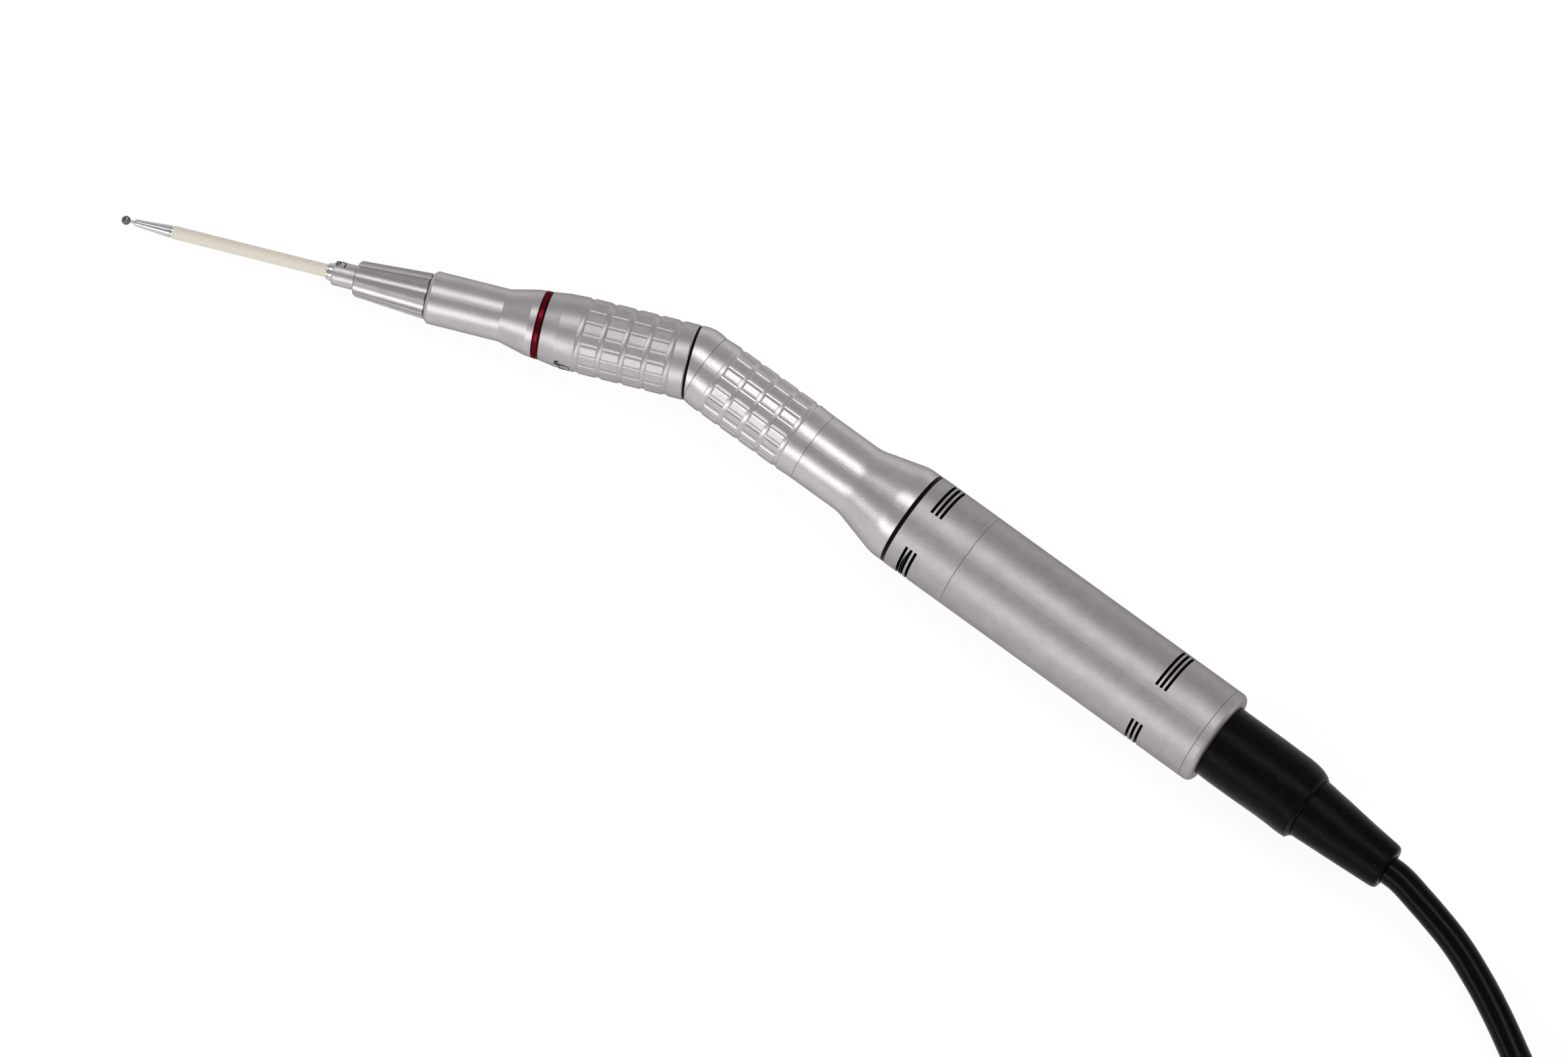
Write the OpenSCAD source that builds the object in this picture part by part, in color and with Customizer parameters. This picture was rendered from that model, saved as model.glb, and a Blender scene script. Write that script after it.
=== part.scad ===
// Angled drill handpiece on an electric micromotor, with a guarded round bur and a cord in a hank.
// It lies on a surface at z = 0, on the motor's side and on the tip of the bur.

/* [Bend] */
// Angle between the motor's axis and the axis of the nose
bend_angle = 21.5; // [17:0.5:26]
// Radius of the ball-shaped bend
elbow_r = 8.2; // [7.9:0.05:8.6]
// From the bend's centre back to the rear grip
elbow_back = 2; // [1.9:0.1:2.6]
// From the bend's centre forward to the black seal
elbow_front = 0.7; // [0.5:0.05:0.8]
// Thickness of the black seal at the bend
elbow_seal_t = 0.55; // [0.3:0.05:0.8]

/* [Motor] */
// Outside diameter of the motor
motor_d = 22; // [21:0.5:25]
// Wall of the motor's shells
shell_wall = 0.95; // [0.8:0.05:1.2]
// Length of the vented front ring
vent_ring_len = 14.95; // [14:0.25:20]
// Length of the motor tube
motor_tube_len = 62.7; // [60:0.5:80]
// Length of the end cap outside
end_cap_len = 2.6; // [1.4:0.1:3]
// Thickness of the black seal in front of the motor
coupling_seal_t = 0.75; // [0.3:0.05:0.8]
// Width of a vent slot
slot_w = 0.65; // [0.4:0.05:0.8]
// Distance from slot to slot
slot_pitch = 1.15; // [1:0.05:1.3]
// Angle that a slot goes round
slot_arc = 72; // [50:1:90]
// Diameter of the motor's shaft
motor_shaft_d = 4; // [3.4:0.1:4.4]
// Length of the stator
stator_len = 34; // [26:1:36]
// Bore of the stator
stator_bore_d = 11.2; // [10:0.1:11.6]
// Gap between the magnet and the stator
air_gap = 0.35; // [0.2:0.05:0.6]
// Diameter of the nose that the attachment sits on
nose_d = 11.9; // [11.5:0.1:12.4]
// Length of the nose in front of the motor
nose_len = 23.2; // [22:0.2:25]

/* [Boot and cord] */
// Diameter of the rubber boot
boot_d = 16.9; // [15.5:0.1:18]
// Length of the boot behind the end cap
boot_len = 23.4; // [20:0.2:30]
// Diameter of the strain relief at the boot
relief_d = 14; // [12:0.1:15]
// Diameter of the strain relief at its end
relief_end_d = 10.3; // [8:0.1:11.5]
// Length of the strain relief
relief_len = 21.7; // [18:0.1:26]
// Tilt of the strain relief
relief_tilt = 1.7; // [0:0.1:2.5]
// Shift of the strain relief off the boot's axis
relief_shift = 0.6; // [0:0.1:0.8]
// Diameter of the cord
cord_d = 6.4; // [5.6:0.1:6.4]

/* [Grips] */
// Diameter of the grips over their bands
grip_d = 16.4; // [16.2:0.1:17.2]
// Depth of the grooves between the bands
groove_depth = 0.28; // [0.24:0.02:0.5]
// Width of a groove
groove_w = 1.5; // [1.4:0.1:2.2]
// Distance from groove to groove
groove_pitch = 4.9; // [4.4:0.1:5.2]
// Number of flutes round a band
flutes = 20; // [16:2:26]
// Depth of a flute in the rear grip
rear_flute_depth = 0.22; // [0.16:0.01:0.3]
// Width of a flute in the rear grip
rear_flute_w = 1.3; // [1:0.05:1.5]
// Depth of a flute in the lock sleeve
sleeve_flute_depth = 0.13; // [0.1:0.01:0.3]
// Width of a flute in the lock sleeve
sleeve_flute_w = 1; // [0.8:0.05:1.5]
// Length of the rear grip
rear_grip_len = 28.6; // [27.4:0.2:34]
// From the front end of the rear grip to its first groove
rear_first_groove = 4.4; // [4:0.1:5.2]
// Length of the lock sleeve
sleeve_len = 32; // [31.6:0.1:36]
// From the rear end of the lock sleeve to its first groove
sleeve_first_groove = 4; // [3:0.1:4.6]

/* [Coupling barrel] */
// Length of the coupling barrel
barrel_len = 25.7; // [25:0.1:32]
// Diameter of its straight front stretch
barrel_d = 16; // [15.6:0.1:16.4]
// Length of the straight front stretch
barrel_straight = 10.8; // [9:0.1:11]
// Slope of the flare
flare_angle = 15.5; // [14:0.5:18]
// Radius of the flare's two bends
flare_r = 10; // [6:0.5:12]

/* [Nose] */
// Length of the front barrel
front_barrel_len = 24.2; // [20:0.1:26]
// Diameter of the front barrel
front_barrel_d = 11.44; // [11.2:0.04:11.8]
// Length of the cone behind the front barrel
front_cone_len = 7.7; // [6:0.1:8]
// Diameter of the cone at its rear end
front_cone_d = 14.8; // [14.4:0.1:15.2]
// Width of the red ring
ratio_ring_w = 0.8; // [0.6:0.1:1.6]
// Width of the black ring on each side of it
ratio_edge_w = 0.37; // [0.15:0.01:0.4]
// Gap between the front barrel and the hub
hub_gap = 0.4; // [0.2:0.05:0.8]
// Length of the finger hub
hub_len = 15.8; // [13:0.1:18]
// Diameter of the hub at its rear end
hub_rear_d = 9.96; // [9.8:0.04:10.4]
// Diameter of the hub at its front end
hub_front_d = 7.84; // [7.6:0.04:8.6]
// Number of flutes round the hub
hub_flutes = 8; // [6:1:9]
// Depth of a hub flute
hub_flute_depth = 0.55; // [0.3:0.05:0.65]
// Diameter of the hub's spigot
spigot_d = 9.14; // [8.8:0.02:9.2]
// Length of the hub's spigot
spigot_len = 14; // [10:0.5:14.5]

/* [Guard and bur] */
// Diameter of the number collar
size_collar_d = 5.3; // [4.6:0.1:6]
// Length of the number collar
size_collar_len = 5; // [4:0.1:7]
// Diameter of the polished collar
guard_collar_d = 3.8; // [3.2:0.1:4.4]
// Length of the polished collar
guard_collar_len = 1.3; // [1:0.1:3]
// Diameter of the ivory sleeve
guard_d = 2.84; // [2.5:0.02:3]
// Length of the ivory sleeve
guard_len = 34.2; // [30:0.2:42]
// Outside diameter of the steel tube under it
guard_core_d = 2.1; // [1.9:0.02:2.2]
// Wall of that tube
guard_core_wall = 0.27; // [0.2:0.01:0.32]
// Length of the guard's tip
guard_tip_len = 8.4; // [6:0.1:9.5]
// Diameter of the guard's tip at its rear end
guard_tip_d = 2.64; // [2.5:0.02:2.8]
// Diameter of the guard's tip at its front end
guard_tip_end_d = 1.44; // [1.3:0.02:1.8]
// From the guard's tip to the middle of the bur's ball
bur_reach = 1.95; // [1.8:0.05:4]
// Diameter of the bur's ball
bur_d = 2; // [1.6:0.1:2.4]
// Diameter of the bur's neck
bur_neck_d = 0.62; // [0.5:0.02:0.8]
// Diameter of the bur's shank
shank_d = 2.35; // [2.2:0.01:2.4]
// Length of shank behind the hub's spigot
shank_back = 25.5; // [24:0.5:26]

/* [Spindle and chuck] */
// Diameter of the spindle
spindle_d = 6; // [5.8:0.05:6.2]
// Diameter over the spindle's bearings
spindle_bearing_d = 10; // [9.8:0.05:10.1]
// Width of a bearing
bearing_w = 3; // [2.6:0.1:3.2]
// Outside diameter of the front housing
housing_d = 12.8; // [12.7:0.05:12.9]
// Diameter of the drive shaft
drive_shaft_d = 4; // [3.4:0.1:4.2]
// Diameter over the drive shaft's bearings
drive_bearing_d = 8; // [7.4:0.1:8.2]
// Number of teeth on each crown gear
gear_teeth = 12; // [10:1:14]
// Outside diameter of the crown gears
gear_d = 9.2; // [8.6:0.1:9.4]
// Twist of the lock sleeve from locked to open
lock_twist = 40; // [30:1:50]
// Travel of the release ring over that twist
release_travel = 1.2; // [0.8:0.05:1.4]

/* [Plug] */
// Diameter of the plug's shell
plug_d = 14; // [13:0.2:15]
// Length of the plug's rear shell
plug_shell_len = 22; // [20:0.5:30]
// Length of the release sleeve
plug_sleeve_len = 13; // [10:0.5:16]
// Diameter of the plug's nose
plug_nose_d = 10; // [9:0.1:11]
// Length of the plug's nose in front of the sleeve
plug_nose_len = 11; // [9:0.5:14]
// Travel of the release sleeve
plug_travel = 1.5; // [1:0.1:2]
// Number of contact pins
plug_pin_count = 8; // [5:1:10]

/* [Hidden] */
$fn = 64;

// Fits and clearances
run_fit = 0.02;
slide_fit = 0.05;
loose_fit = 0.3;
face_gap = 0.05;
eps = 0.01;

// Radii
motor_r = motor_d / 2;
motor_bore_r = motor_r - shell_wall;
grip_r = grip_d / 2;
seam = 0.1;
land_r = grip_r - 0.1;
boot_r = boot_d / 2;
nose_r = nose_d / 2;
housing_r = housing_d / 2;
housing_bore_r = spindle_bearing_d / 2;
spindle_r = spindle_d / 2;
drive_r = drive_shaft_d / 2;
motor_shaft_r = motor_shaft_d / 2;
gear_r = gear_d / 2;
gear_in_r = gear_r - 1.8;
shank_r = shank_d / 2;
cord_r = cord_d / 2;
plug_r = plug_d / 2;
plug_nose_r = plug_nose_d / 2;

// Distances behind the bend's centre, along the motor's axis
grip_rear = elbow_back + rear_grip_len;
barrel_rear = grip_rear + barrel_len;
motor_front = barrel_rear + coupling_seal_t;
tube_front = motor_front + vent_ring_len;
tube_rear = tube_front + motor_tube_len;
cap_rear = tube_rear + end_cap_len;
boot_rear = cap_rear + boot_len;
relief_front = boot_rear + relief_d / 2 * sin(relief_tilt);
nose_tip = motor_front - nose_len;
vent_wall = 0.95;
flange_front = motor_front + vent_wall;
flange_t = 1.6;
front_slots = motor_front + 4.65;
rear_slots = tube_rear - 12.7;
lap_len = 3;
lap_t = 0.3;
plate_t = 4;
front_plate = tube_front - 7.6;
stator_front = tube_front + 6;
stator_rear = stator_front + stator_len;
coil_r = 1.3;
end_turn_r = 1.9;
board_t = 1;
sensor_board_front = rear_slots - 4.4;
rear_plate = rear_slots + 3;
boot_front = tube_rear - 3.4;
cap_spigot_r = motor_bore_r - 1.05;
cap_hole_r = boot_r + 0.02;

seal_grooves = [nose_tip + 6, nose_tip + 9.5, motor_front - 3];
seal_r = 0.44;
snap_groove = nose_tip + 12.9;
snap_groove_w = 1.2;
snap_depth = 0.8;
screw_r = 0.8;
screw_circle = motor_bore_r - 1.9;
plate_bearing_r = 4.6;
plate_holes = 6;
vent_circle = (motor_bore_r + plate_bearing_r) / 2;
coil_circle = (stator_bore_d / 2 + motor_bore_r) / 2;

// Dogs between the two shafts
dog_r = 3.2;
dog_bore_r = 1;
dog_angle = 80;
dog_len = 3.6;
dog_root = 4;
dog_end_gap = 0.4;
tail_tube = grip_rear + 1.9;
drive_dog_front = tail_tube - 2.5;
claw_front = drive_dog_front + dog_root;
motor_claw_front = claw_front + dog_end_gap;
motor_dog_front = claw_front + dog_len + dog_end_gap;

// Distances in front of the bend's centre, along the axis of the nose
seal_front = elbow_front + elbow_seal_t;
sleeve_rear = seal_front + face_gap;
sleeve_front = sleeve_rear + sleeve_len;
ring_stack = sleeve_front + face_gap;
barrel_back = ring_stack + 2 * ratio_edge_w + ratio_ring_w;
front_barrel_front = barrel_back + front_barrel_len;
hub_rear = front_barrel_front + hub_gap;
hub_front = hub_rear + hub_len;
spigot_rear = hub_rear - spigot_len;
size_collar_rear = hub_front + 0.1;
guard_collar_rear = size_collar_rear + size_collar_len;
guard_rear = guard_collar_rear + guard_collar_len;
guard_tip_rear = guard_rear + guard_len;
guard_tip_front = guard_tip_rear + guard_tip_len;
bur_ball = guard_tip_front + bur_reach;
shank_rear = spigot_rear - shank_back;
shank_step = hub_front - 6;
guard_core_rear = hub_front - 5;
guard_core_front = guard_tip_rear + 1;
guard_core_r = guard_core_d / 2;
guard_bore_r = guard_core_r - guard_core_wall;
hub_bore_r = shank_r + 0.1;
bushing_r = 2;
bushing_len = 4;

// Gears in the bend
gear_addendum = 0.45;
gear_dedendum = 0.6;
gear_web = 1;
tooth_angle = 0.38 * 360 / gear_teeth;
gear_hub_r = 3.4;
gear_seat_r = 2;
gear_bore_front = gear_in_r * tan(bend_angle / 2) + 0.45;
gear_back = gear_r * tan(bend_angle / 2) + gear_dedendum + gear_web;
first_bearing = gear_back + 1.93;

// Chuck inside the lock sleeve
neck_len = first_bearing + bearing_w + 1.1;
neck_r = housing_bore_r + 0.7;
spindle_front = barrel_back + 8.6;
front_bearing = barrel_back + 3.3;
housing_front = barrel_back + 2.3;
release_rear = ring_stack - 7;
release_len = 2.5;
release_pin_r = 0.85;
release_pin = release_rear + 1.3;
chuck_travel = release_travel - 0.2;
chuck_rear = release_rear + release_len + 0.3;
chuck_len = 3.8;
chuck_r = 4.1;
chuck_pin_r = 0.5;
chuck_pin = chuck_rear + 1.9;
collet_r = 2.15;
collet_head_r = 2.75;
collet_len = 14;
collet_head_len = 2;
collet_rear = spindle_front - collet_len - 0.1;
spindle_bore_r = collet_r + slide_fit;
driver_len = 6.5;
flat_depth = 0.35;
spring_wire_r = 0.3;
spring_r = spindle_r + 0.25 + spring_wire_r;
spring_front = front_bearing - 0.9;
spring_turns = 5;
cam_steps = 8;
cam_r = housing_r + 0.72;

// Attitude: the nose dips until the bur touches the surface that the motor lies on
tip_side = bur_ball * sin(bend_angle);
roll = asin((motor_r - bur_d / 2) / tip_side);
reach_x = bur_ball * cos(bend_angle) + bur_d / 2;
reach_y = tip_side * cos(roll) + bur_d / 2;
back_x = relief_front + relief_len * cos(relief_tilt);
bend_x = (back_x - reach_x) / 2;
bend_y = (motor_r - reach_y) / 2;

// Cord: the exit, then points chosen by hand, given from the bend's centre with heights above z = 0
exit_side = relief_shift + relief_len * sin(relief_tilt);
cord_exit = [-back_x, exit_side * cos(roll), motor_r - exit_side * sin(roll)];
exit_dir = [-cos(relief_tilt), sin(relief_tilt) * cos(roll), -sin(relief_tilt) * sin(roll)];
exit_run = 3;
run_points = [
    [-191.8, 2.5, 10.35], [-196, 3.35, 9.6], [-203, 4.95, 7.7], [-210, 7.4, 5.7],
    [-217, 10.5, 4.3], [-226, 15.4, 3.5], [-235, 20.9, 3.4], [-243.8, 27.6, 3.7]
];

// Hank: the middle of its near fold, its straight runs, and the turns of each of its two layers
hank_near = [-276, 10];
hank_run = 96;
hank_in_r = 20;
hank_pitch = 6.9;
hank_turns = 2;
hank_dip = 0.4;
hank_lift = 1;
hank_sides = 6;
run_steps = 4;
fold_steps = 8;
hank_z = cord_r + hank_lift;
plug_ahead = 22.5;
plug_rest = 0.3;
tube_sides = 10;

// Distances along the plug from the end of the cord
plug_boot_len = 20;
sleeve_start = plug_boot_len + plug_shell_len;
plug_nose_start = sleeve_start + plug_sleeve_len;
plug_face = plug_nose_start + plug_nose_len;
plug_neck_r = plug_nose_r - 0.2;
plug_bore_r = plug_nose_r - 0.9;
plug_bore_len = 7;
pin_r = 0.38;
pin_circle = plug_nose_r / 2;

// Tie around one run of the hank
tie_w = 11;
tie_t = 0.7;
tie_gap = 0.25;

// ---------- Placing ----------

// The bend's centre, with heights above z = 0
module at_bend() { translate([bend_x, bend_y, 0]) children(); }

// Local +Z runs back along the motor's axis, +X to the upper side, +Y to the inside of the bend
module rearward() {
    at_bend() translate([0, 0, motor_r]) rotate([-roll, 0, 0]) rotate([0, -90, 0]) children();
}

// Local +Z runs forward along the axis of the nose, +X to the upper side, -Y to the inside
module forward() {
    at_bend() translate([0, 0, motor_r]) rotate([-roll, 0, 0]) rotate([0, 0, bend_angle])
        rotate([0, 90, 0]) rotate([0, 0, 180]) children();
}

// ---------- Shared shapes ----------

// A ring from z0 to z1 between two radii
module ring(z0, z1, r_out, r_in) {
    translate([0, 0, z0]) difference() {
        cylinder(h = z1 - z0, r = r_out);
        translate([0, 0, -1]) cylinder(h = z1 - z0 + 2, r = r_in);
    }
}

// A solid of revolution from points of radius and height
module turned(points) { rotate_extrude() polygon(points); }

// A cylinder cut from z0 to z1
module bore(z0, z1, r) { translate([0, 0, z0]) cylinder(h = z1 - z0, r = r); }

// Points of an arc in a profile: centre, radius, first and last angle
function arc(c, r, a0, a1, n = 6) =
    [for (i = [0 : n]) let (a = a0 + (a1 - a0) * i / n) [c[0] + r * cos(a), c[1] + r * sin(a)]];

// The round-bottomed grooves of a grip, the first centred on height z, with bevelled lips
module grip_grooves(z, r) {
    floor_r = (pow(groove_w / 2, 2) + pow(groove_depth, 2)) / (2 * groove_depth);
    lip = 0.12;
    lip_a = acos((floor_r - groove_depth + lip) / floor_r);
    lip_w = floor_r * sin(lip_a);
    for (i = [0 : 4]) translate([0, 0, z + i * groove_pitch]) turned(concat(
        [[r + 1, -lip_w - 1.6]],
        arc([r - groove_depth + floor_r, 0], floor_r, 180 + lip_a, 180 - lip_a, 10),
        [[r + 1, lip_w + 1.6]]
    ));
}

// Outline of a band between two grooves: flats, with a shallow hollow flute between each two
function band_outline(r, w, depth, turn) = let (
        step = 360 / flutes,
        half = asin(w / 2 / r)
    ) [for (i = [0 : flutes - 1], t = [-1, -0.5, 0, 0.5, 1])
        let (a = turn + i * step + t * half) (r - depth * (1 - t * t)) * [cos(a), sin(a)]];

// A grip's bands and grooves cut from its blank, with one flute at the given turn
module grooved(z, r, w, depth, turn) {
    difference() {
        difference() {
            children();
            translate([0, 0, z]) linear_extrude(4 * groove_pitch) difference() {
                circle(r = r + 1);
                polygon(band_outline(r - 0.02, w, depth, turn));
            }
        }
        grip_grooves(z, r);
    }
}

// One ball bearing in three parts, from height z
function ball_r(r_in, r_out) = 0.3 * (r_out - r_in);
function ball_pitch_r(r_in, r_out) = (r_out + r_in) / 2;
module ball_track(z, r_in, r_out) {
    translate([0, 0, z + bearing_w / 2]) rotate_extrude()
        translate([ball_pitch_r(r_in, r_out), 0]) circle(r = ball_r(r_in, r_out) + run_fit);
}
module bearing_outer(z, r_in, r_out) {
    difference() {
        ring(z, z + bearing_w, r_out, ball_pitch_r(r_in, r_out) + 0.65 * ball_r(r_in, r_out));
        ball_track(z, r_in, r_out);
    }
    count = floor(180 / asin(ball_r(r_in, r_out) * 1.12 / ball_pitch_r(r_in, r_out)));
    for (i = [0 : count - 1]) rotate([0, 0, i * 360 / count])
        translate([ball_pitch_r(r_in, r_out), 0, z + bearing_w / 2]) sphere(r = ball_r(r_in, r_out));
}
module bearing_inner(z, r_in, r_out) {
    difference() {
        ring(z, z + bearing_w, ball_pitch_r(r_in, r_out) - 0.65 * ball_r(r_in, r_out), r_in);
        ball_track(z, r_in, r_out);
    }
}

// A crown gear with its apex at the bend's centre, its body away from it, and its hub
module crown_gear(phase) {
    lean = tan(bend_angle / 2);
    rotate([0, 0, phase + 180 / gear_teeth]) turned([
        [gear_seat_r, gear_bore_front], [gear_in_r, gear_in_r * lean + gear_dedendum],
        [gear_r, gear_r * lean + gear_dedendum], [gear_r, gear_back], [gear_hub_r, gear_back],
        [gear_hub_r, first_bearing], [gear_seat_r, first_bearing]
    ]);
    in_r = gear_in_r + slide_fit;
    out_r = gear_r - slide_fit;
    for (i = [0 : gear_teeth - 1]) rotate([0, 0, phase + i * 360 / gear_teeth - tooth_angle / 2])
        rotate_extrude(angle = tooth_angle) polygon([
            [in_r, in_r * lean - gear_addendum], [out_r, out_r * lean - gear_addendum],
            [out_r, out_r * lean + gear_dedendum + eps], [in_r, in_r * lean + gear_dedendum + eps]
        ]);
}

// Two claws of a dog, from z0 to z1, the first centred on the given angle
module claws(z0, z1, first) {
    for (side = [0, 180]) rotate([0, 0, first + side - dog_angle / 2]) translate([0, 0, z0])
        rotate_extrude(angle = dog_angle) translate([dog_bore_r, 0])
            square([dog_r - dog_bore_r, z1 - z0]);
}

// Three groups of vent slots, the first centred on the given angle
module vent_slots(z, first) {
    for (group = [0 : 2], slot = [-1 : 1])
        rotate([0, 0, first + group * 120 - slot_arc / 2]) translate([0, 0, z + slot * slot_pitch])
            rotate_extrude(angle = slot_arc) translate([motor_bore_r - 1, -slot_w / 2])
                square([shell_wall + 2, slot_w]);
}

// A polyhedron from rings of points, closed at both ends
module skin(rings) {
    sides = len(rings[0]);
    count = len(rings);
    polyhedron(
        points = [for (r = rings) each r],
        faces = concat(
            [[for (j = [0 : sides - 1]) j]],
            [for (i = [0 : count - 2], j = [0 : sides - 1]) let (k = (j + 1) % sides)
                each [[(i + 1) * sides + j, (i + 1) * sides + k, i * sides + k],
                    [(i + 1) * sides + j, i * sides + k, i * sides + j]]],
            [[for (j = [0 : sides - 1]) count * sides - 1 - j]]
        )
    );
}
function unit(v) = v / norm(v);
// Direction at each point of a route, with the first and the last given
function headings(p, first, last) = [for (i = [0 : len(p) - 1])
    i == 0 ? unit(first) : i == len(p) - 1 ? unit(last)
        : unit(unit(p[i + 1] - p[i]) + unit(p[i] - p[i - 1]))];
// A ring of points round a place, square to its heading, with one corner straight down
function cord_ring(p, t, r, sides) = let (a = unit(cross(t, [0, 0, 1])), b = cross(a, t))
    [for (j = [0 : sides - 1]) let (w = 360 * j / sides) p - r * (b * cos(w) + a * sin(w))];
module cord_tube(points, first, last, r, sides) {
    t = headings(points, first, last);
    skin([for (i = [0 : len(points) - 1]) cord_ring(points[i], t[i], r, sides)]);
}

// ---------- Cutter ----------

module bur_head() {
    color([0.30, 0.29, 0.29]) forward() difference() {
        translate([0, 0, bur_ball]) sphere(r = bur_d / 2);
        bore(bur_ball - bur_d, bur_ball, bur_neck_d / 2);
        for (i = [0 : 5]) rotate([0, 0, 60 * i]) translate([bur_d / 2 + 0.02, 0, bur_ball])
            rotate([20, 0, 0]) cylinder(h = 2 * bur_d, r = 0.12 * bur_d / 2, center = true, $fn = 16);
    }
}

module bur_shank() {
    thin_r = guard_bore_r - 0.12;
    color([0.80, 0.80, 0.80]) forward() difference() {
        turned([
            [0, shank_rear], [shank_r - 0.3, shank_rear], [shank_r, shank_rear + 0.3],
            [shank_r, shank_step], [thin_r, shank_step + 0.4], [thin_r, guard_tip_front - 2.6],
            [bur_neck_d / 2, guard_tip_front - 2], [bur_neck_d / 2, bur_ball], [0, bur_ball]
        ]);
        translate([shank_r - flat_depth, -shank_d, shank_rear - 1])
            cube([shank_d, 2 * shank_d, driver_len + 1]);
    }
}

module guard_tip() {
    step_r = guard_tip_d / 2 - 0.14;
    color([0.86, 0.86, 0.87]) forward() turned([
        [guard_core_r + eps, guard_tip_rear], [step_r, guard_tip_rear],
        [step_r, guard_tip_rear + 0.35], [guard_tip_d / 2, guard_tip_rear + 0.45],
        [guard_tip_end_d / 2, guard_tip_front - 0.1], [guard_tip_end_d / 2 - 0.1, guard_tip_front],
        [bur_neck_d / 2 + 0.1, guard_tip_front], [bur_neck_d / 2 + 0.1, guard_tip_front - 1.7],
        [guard_bore_r, guard_tip_front - 2.1], [guard_bore_r, guard_core_front],
        [guard_core_r + eps, guard_core_front]
    ]);
}

module guard_sleeve() {
    color([0.88, 0.85, 0.76]) forward() ring(guard_rear, guard_tip_rear, guard_d / 2, guard_core_r + eps);
}

module guard_core() {
    color([0.78, 0.78, 0.78]) forward() ring(guard_core_rear, guard_core_front, guard_core_r, guard_bore_r);
}

module guard_collar() {
    r = guard_collar_d / 2;
    color([0.86, 0.86, 0.87]) forward() turned([
        [guard_core_r + eps, guard_collar_rear], [r, guard_collar_rear], [r, guard_rear - 0.45],
        [r - 0.2, guard_rear - 0.3], [r - 0.2, guard_rear], [guard_core_r + eps, guard_rear]
    ]);
}

module size_collar() {
    r = size_collar_d / 2;
    front = guard_collar_rear;
    color([0.70, 0.70, 0.71]) forward() turned([
        [guard_core_r + eps, size_collar_rear], [r - 0.12, size_collar_rear],
        [r, size_collar_rear + 0.15], [r, front - 0.35], [r - 0.35, front], [guard_core_r + eps, front]
    ]);
}

module nose_hub() {
    cutter = 3.2;
    lean = atan((hub_rear_d - hub_front_d) / 2 / hub_len);
    color([0.72, 0.72, 0.73]) forward() difference() {
        turned([
            [hub_bore_r, spigot_rear], [spigot_d / 2 - 0.3, spigot_rear],
            [spigot_d / 2, spigot_rear + 0.4], [spigot_d / 2, hub_rear],
            [hub_rear_d / 2, hub_rear], [hub_front_d / 2, hub_front - 0.5],
            [hub_front_d / 2 - 0.5, hub_front], [guard_core_r + eps, hub_front],
            [guard_core_r + eps, guard_core_rear], [hub_bore_r, guard_core_rear]
        ]);
        for (i = [0 : hub_flutes - 1]) rotate([0, 0, -11 + (i + 0.5) * 360 / hub_flutes])
            translate([hub_rear_d / 2 + cutter - hub_flute_depth, 0, hub_rear]) rotate([0, -lean, 0])
                translate([0, 0, -0.6]) cylinder(h = hub_len + 2, r = cutter);
        bore(spigot_rear - 1, spigot_rear + bushing_len, bushing_r);
        bore(guard_core_rear - bushing_len - 1.6, guard_core_rear - 1.6, bushing_r);
    }
}

module hub_bushings() {
    color([0.72, 0.55, 0.30]) forward() for (z = [spigot_rear, guard_core_rear - bushing_len - 1.6])
        ring(z, z + bushing_len, bushing_r, shank_r + run_fit);
}

// ---------- Front of the attachment ----------

module front_barrel() {
    r = front_barrel_d / 2;
    cone_r = front_cone_d / 2;
    cone_front = barrel_back + front_cone_len;
    color([0.74, 0.74, 0.75]) forward() difference() {
        turned([
            [0, barrel_back], [cone_r - 0.1, barrel_back], [cone_r - 0.2, barrel_back + 1.5],
            [r, cone_front], [r, front_barrel_front - 0.7], [r - 0.62, front_barrel_front],
            [0, front_barrel_front]
        ]);
        bore(barrel_back - 1, housing_front + eps, housing_r + eps);
        bore(housing_front, front_bearing + bearing_w + 0.4, housing_bore_r);
        bore(housing_front, front_barrel_front + 1, spigot_d / 2 + slide_fit);
    }
}

module ratio_ring() {
    color([0.66, 0.05, 0.10]) forward()
        ring(ring_stack + ratio_edge_w, barrel_back - ratio_edge_w, front_cone_d / 2, housing_r + eps);
}

module ratio_ring_edges() {
    color([0.04, 0.04, 0.04]) forward() for (z = [ring_stack, barrel_back - ratio_edge_w])
        ring(z, z + ratio_edge_w, front_cone_d / 2 - 0.05, housing_r + eps);
}

// Knurled sleeve, with two helical cam slots in its bore
module lock_sleeve() {
    taper_front = front_cone_d / 2 + 0.05;
    color([0.74, 0.74, 0.75]) forward() difference() {
        grooved(
            sleeve_rear + sleeve_first_groove, grip_r, sleeve_flute_w, sleeve_flute_depth, 0
        ) turned([
            [housing_r + slide_fit, sleeve_rear], [elbow_r - 0.2, sleeve_rear],
            [elbow_r, sleeve_rear + 0.25], [grip_r, sleeve_rear + 2],
            [grip_r, sleeve_rear + sleeve_first_groove + 4 * groove_pitch],
            [land_r, sleeve_front - 6.6], [land_r - 0.15, sleeve_front - 3.5],
            [taper_front, sleeve_front - 0.1],
            [taper_front - 0.1, sleeve_front], [housing_r + slide_fit, sleeve_front]
        ]);
        for (side = [0, 180], i = [0 : cam_steps]) rotate([0, 0, side - i * lock_twist / cam_steps])
            translate([0, 0, release_pin + i * release_travel / cam_steps]) rotate([0, 90, 0])
                cylinder(h = cam_r, r = release_pin_r + 0.1, $fn = 32);
    }
}

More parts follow.
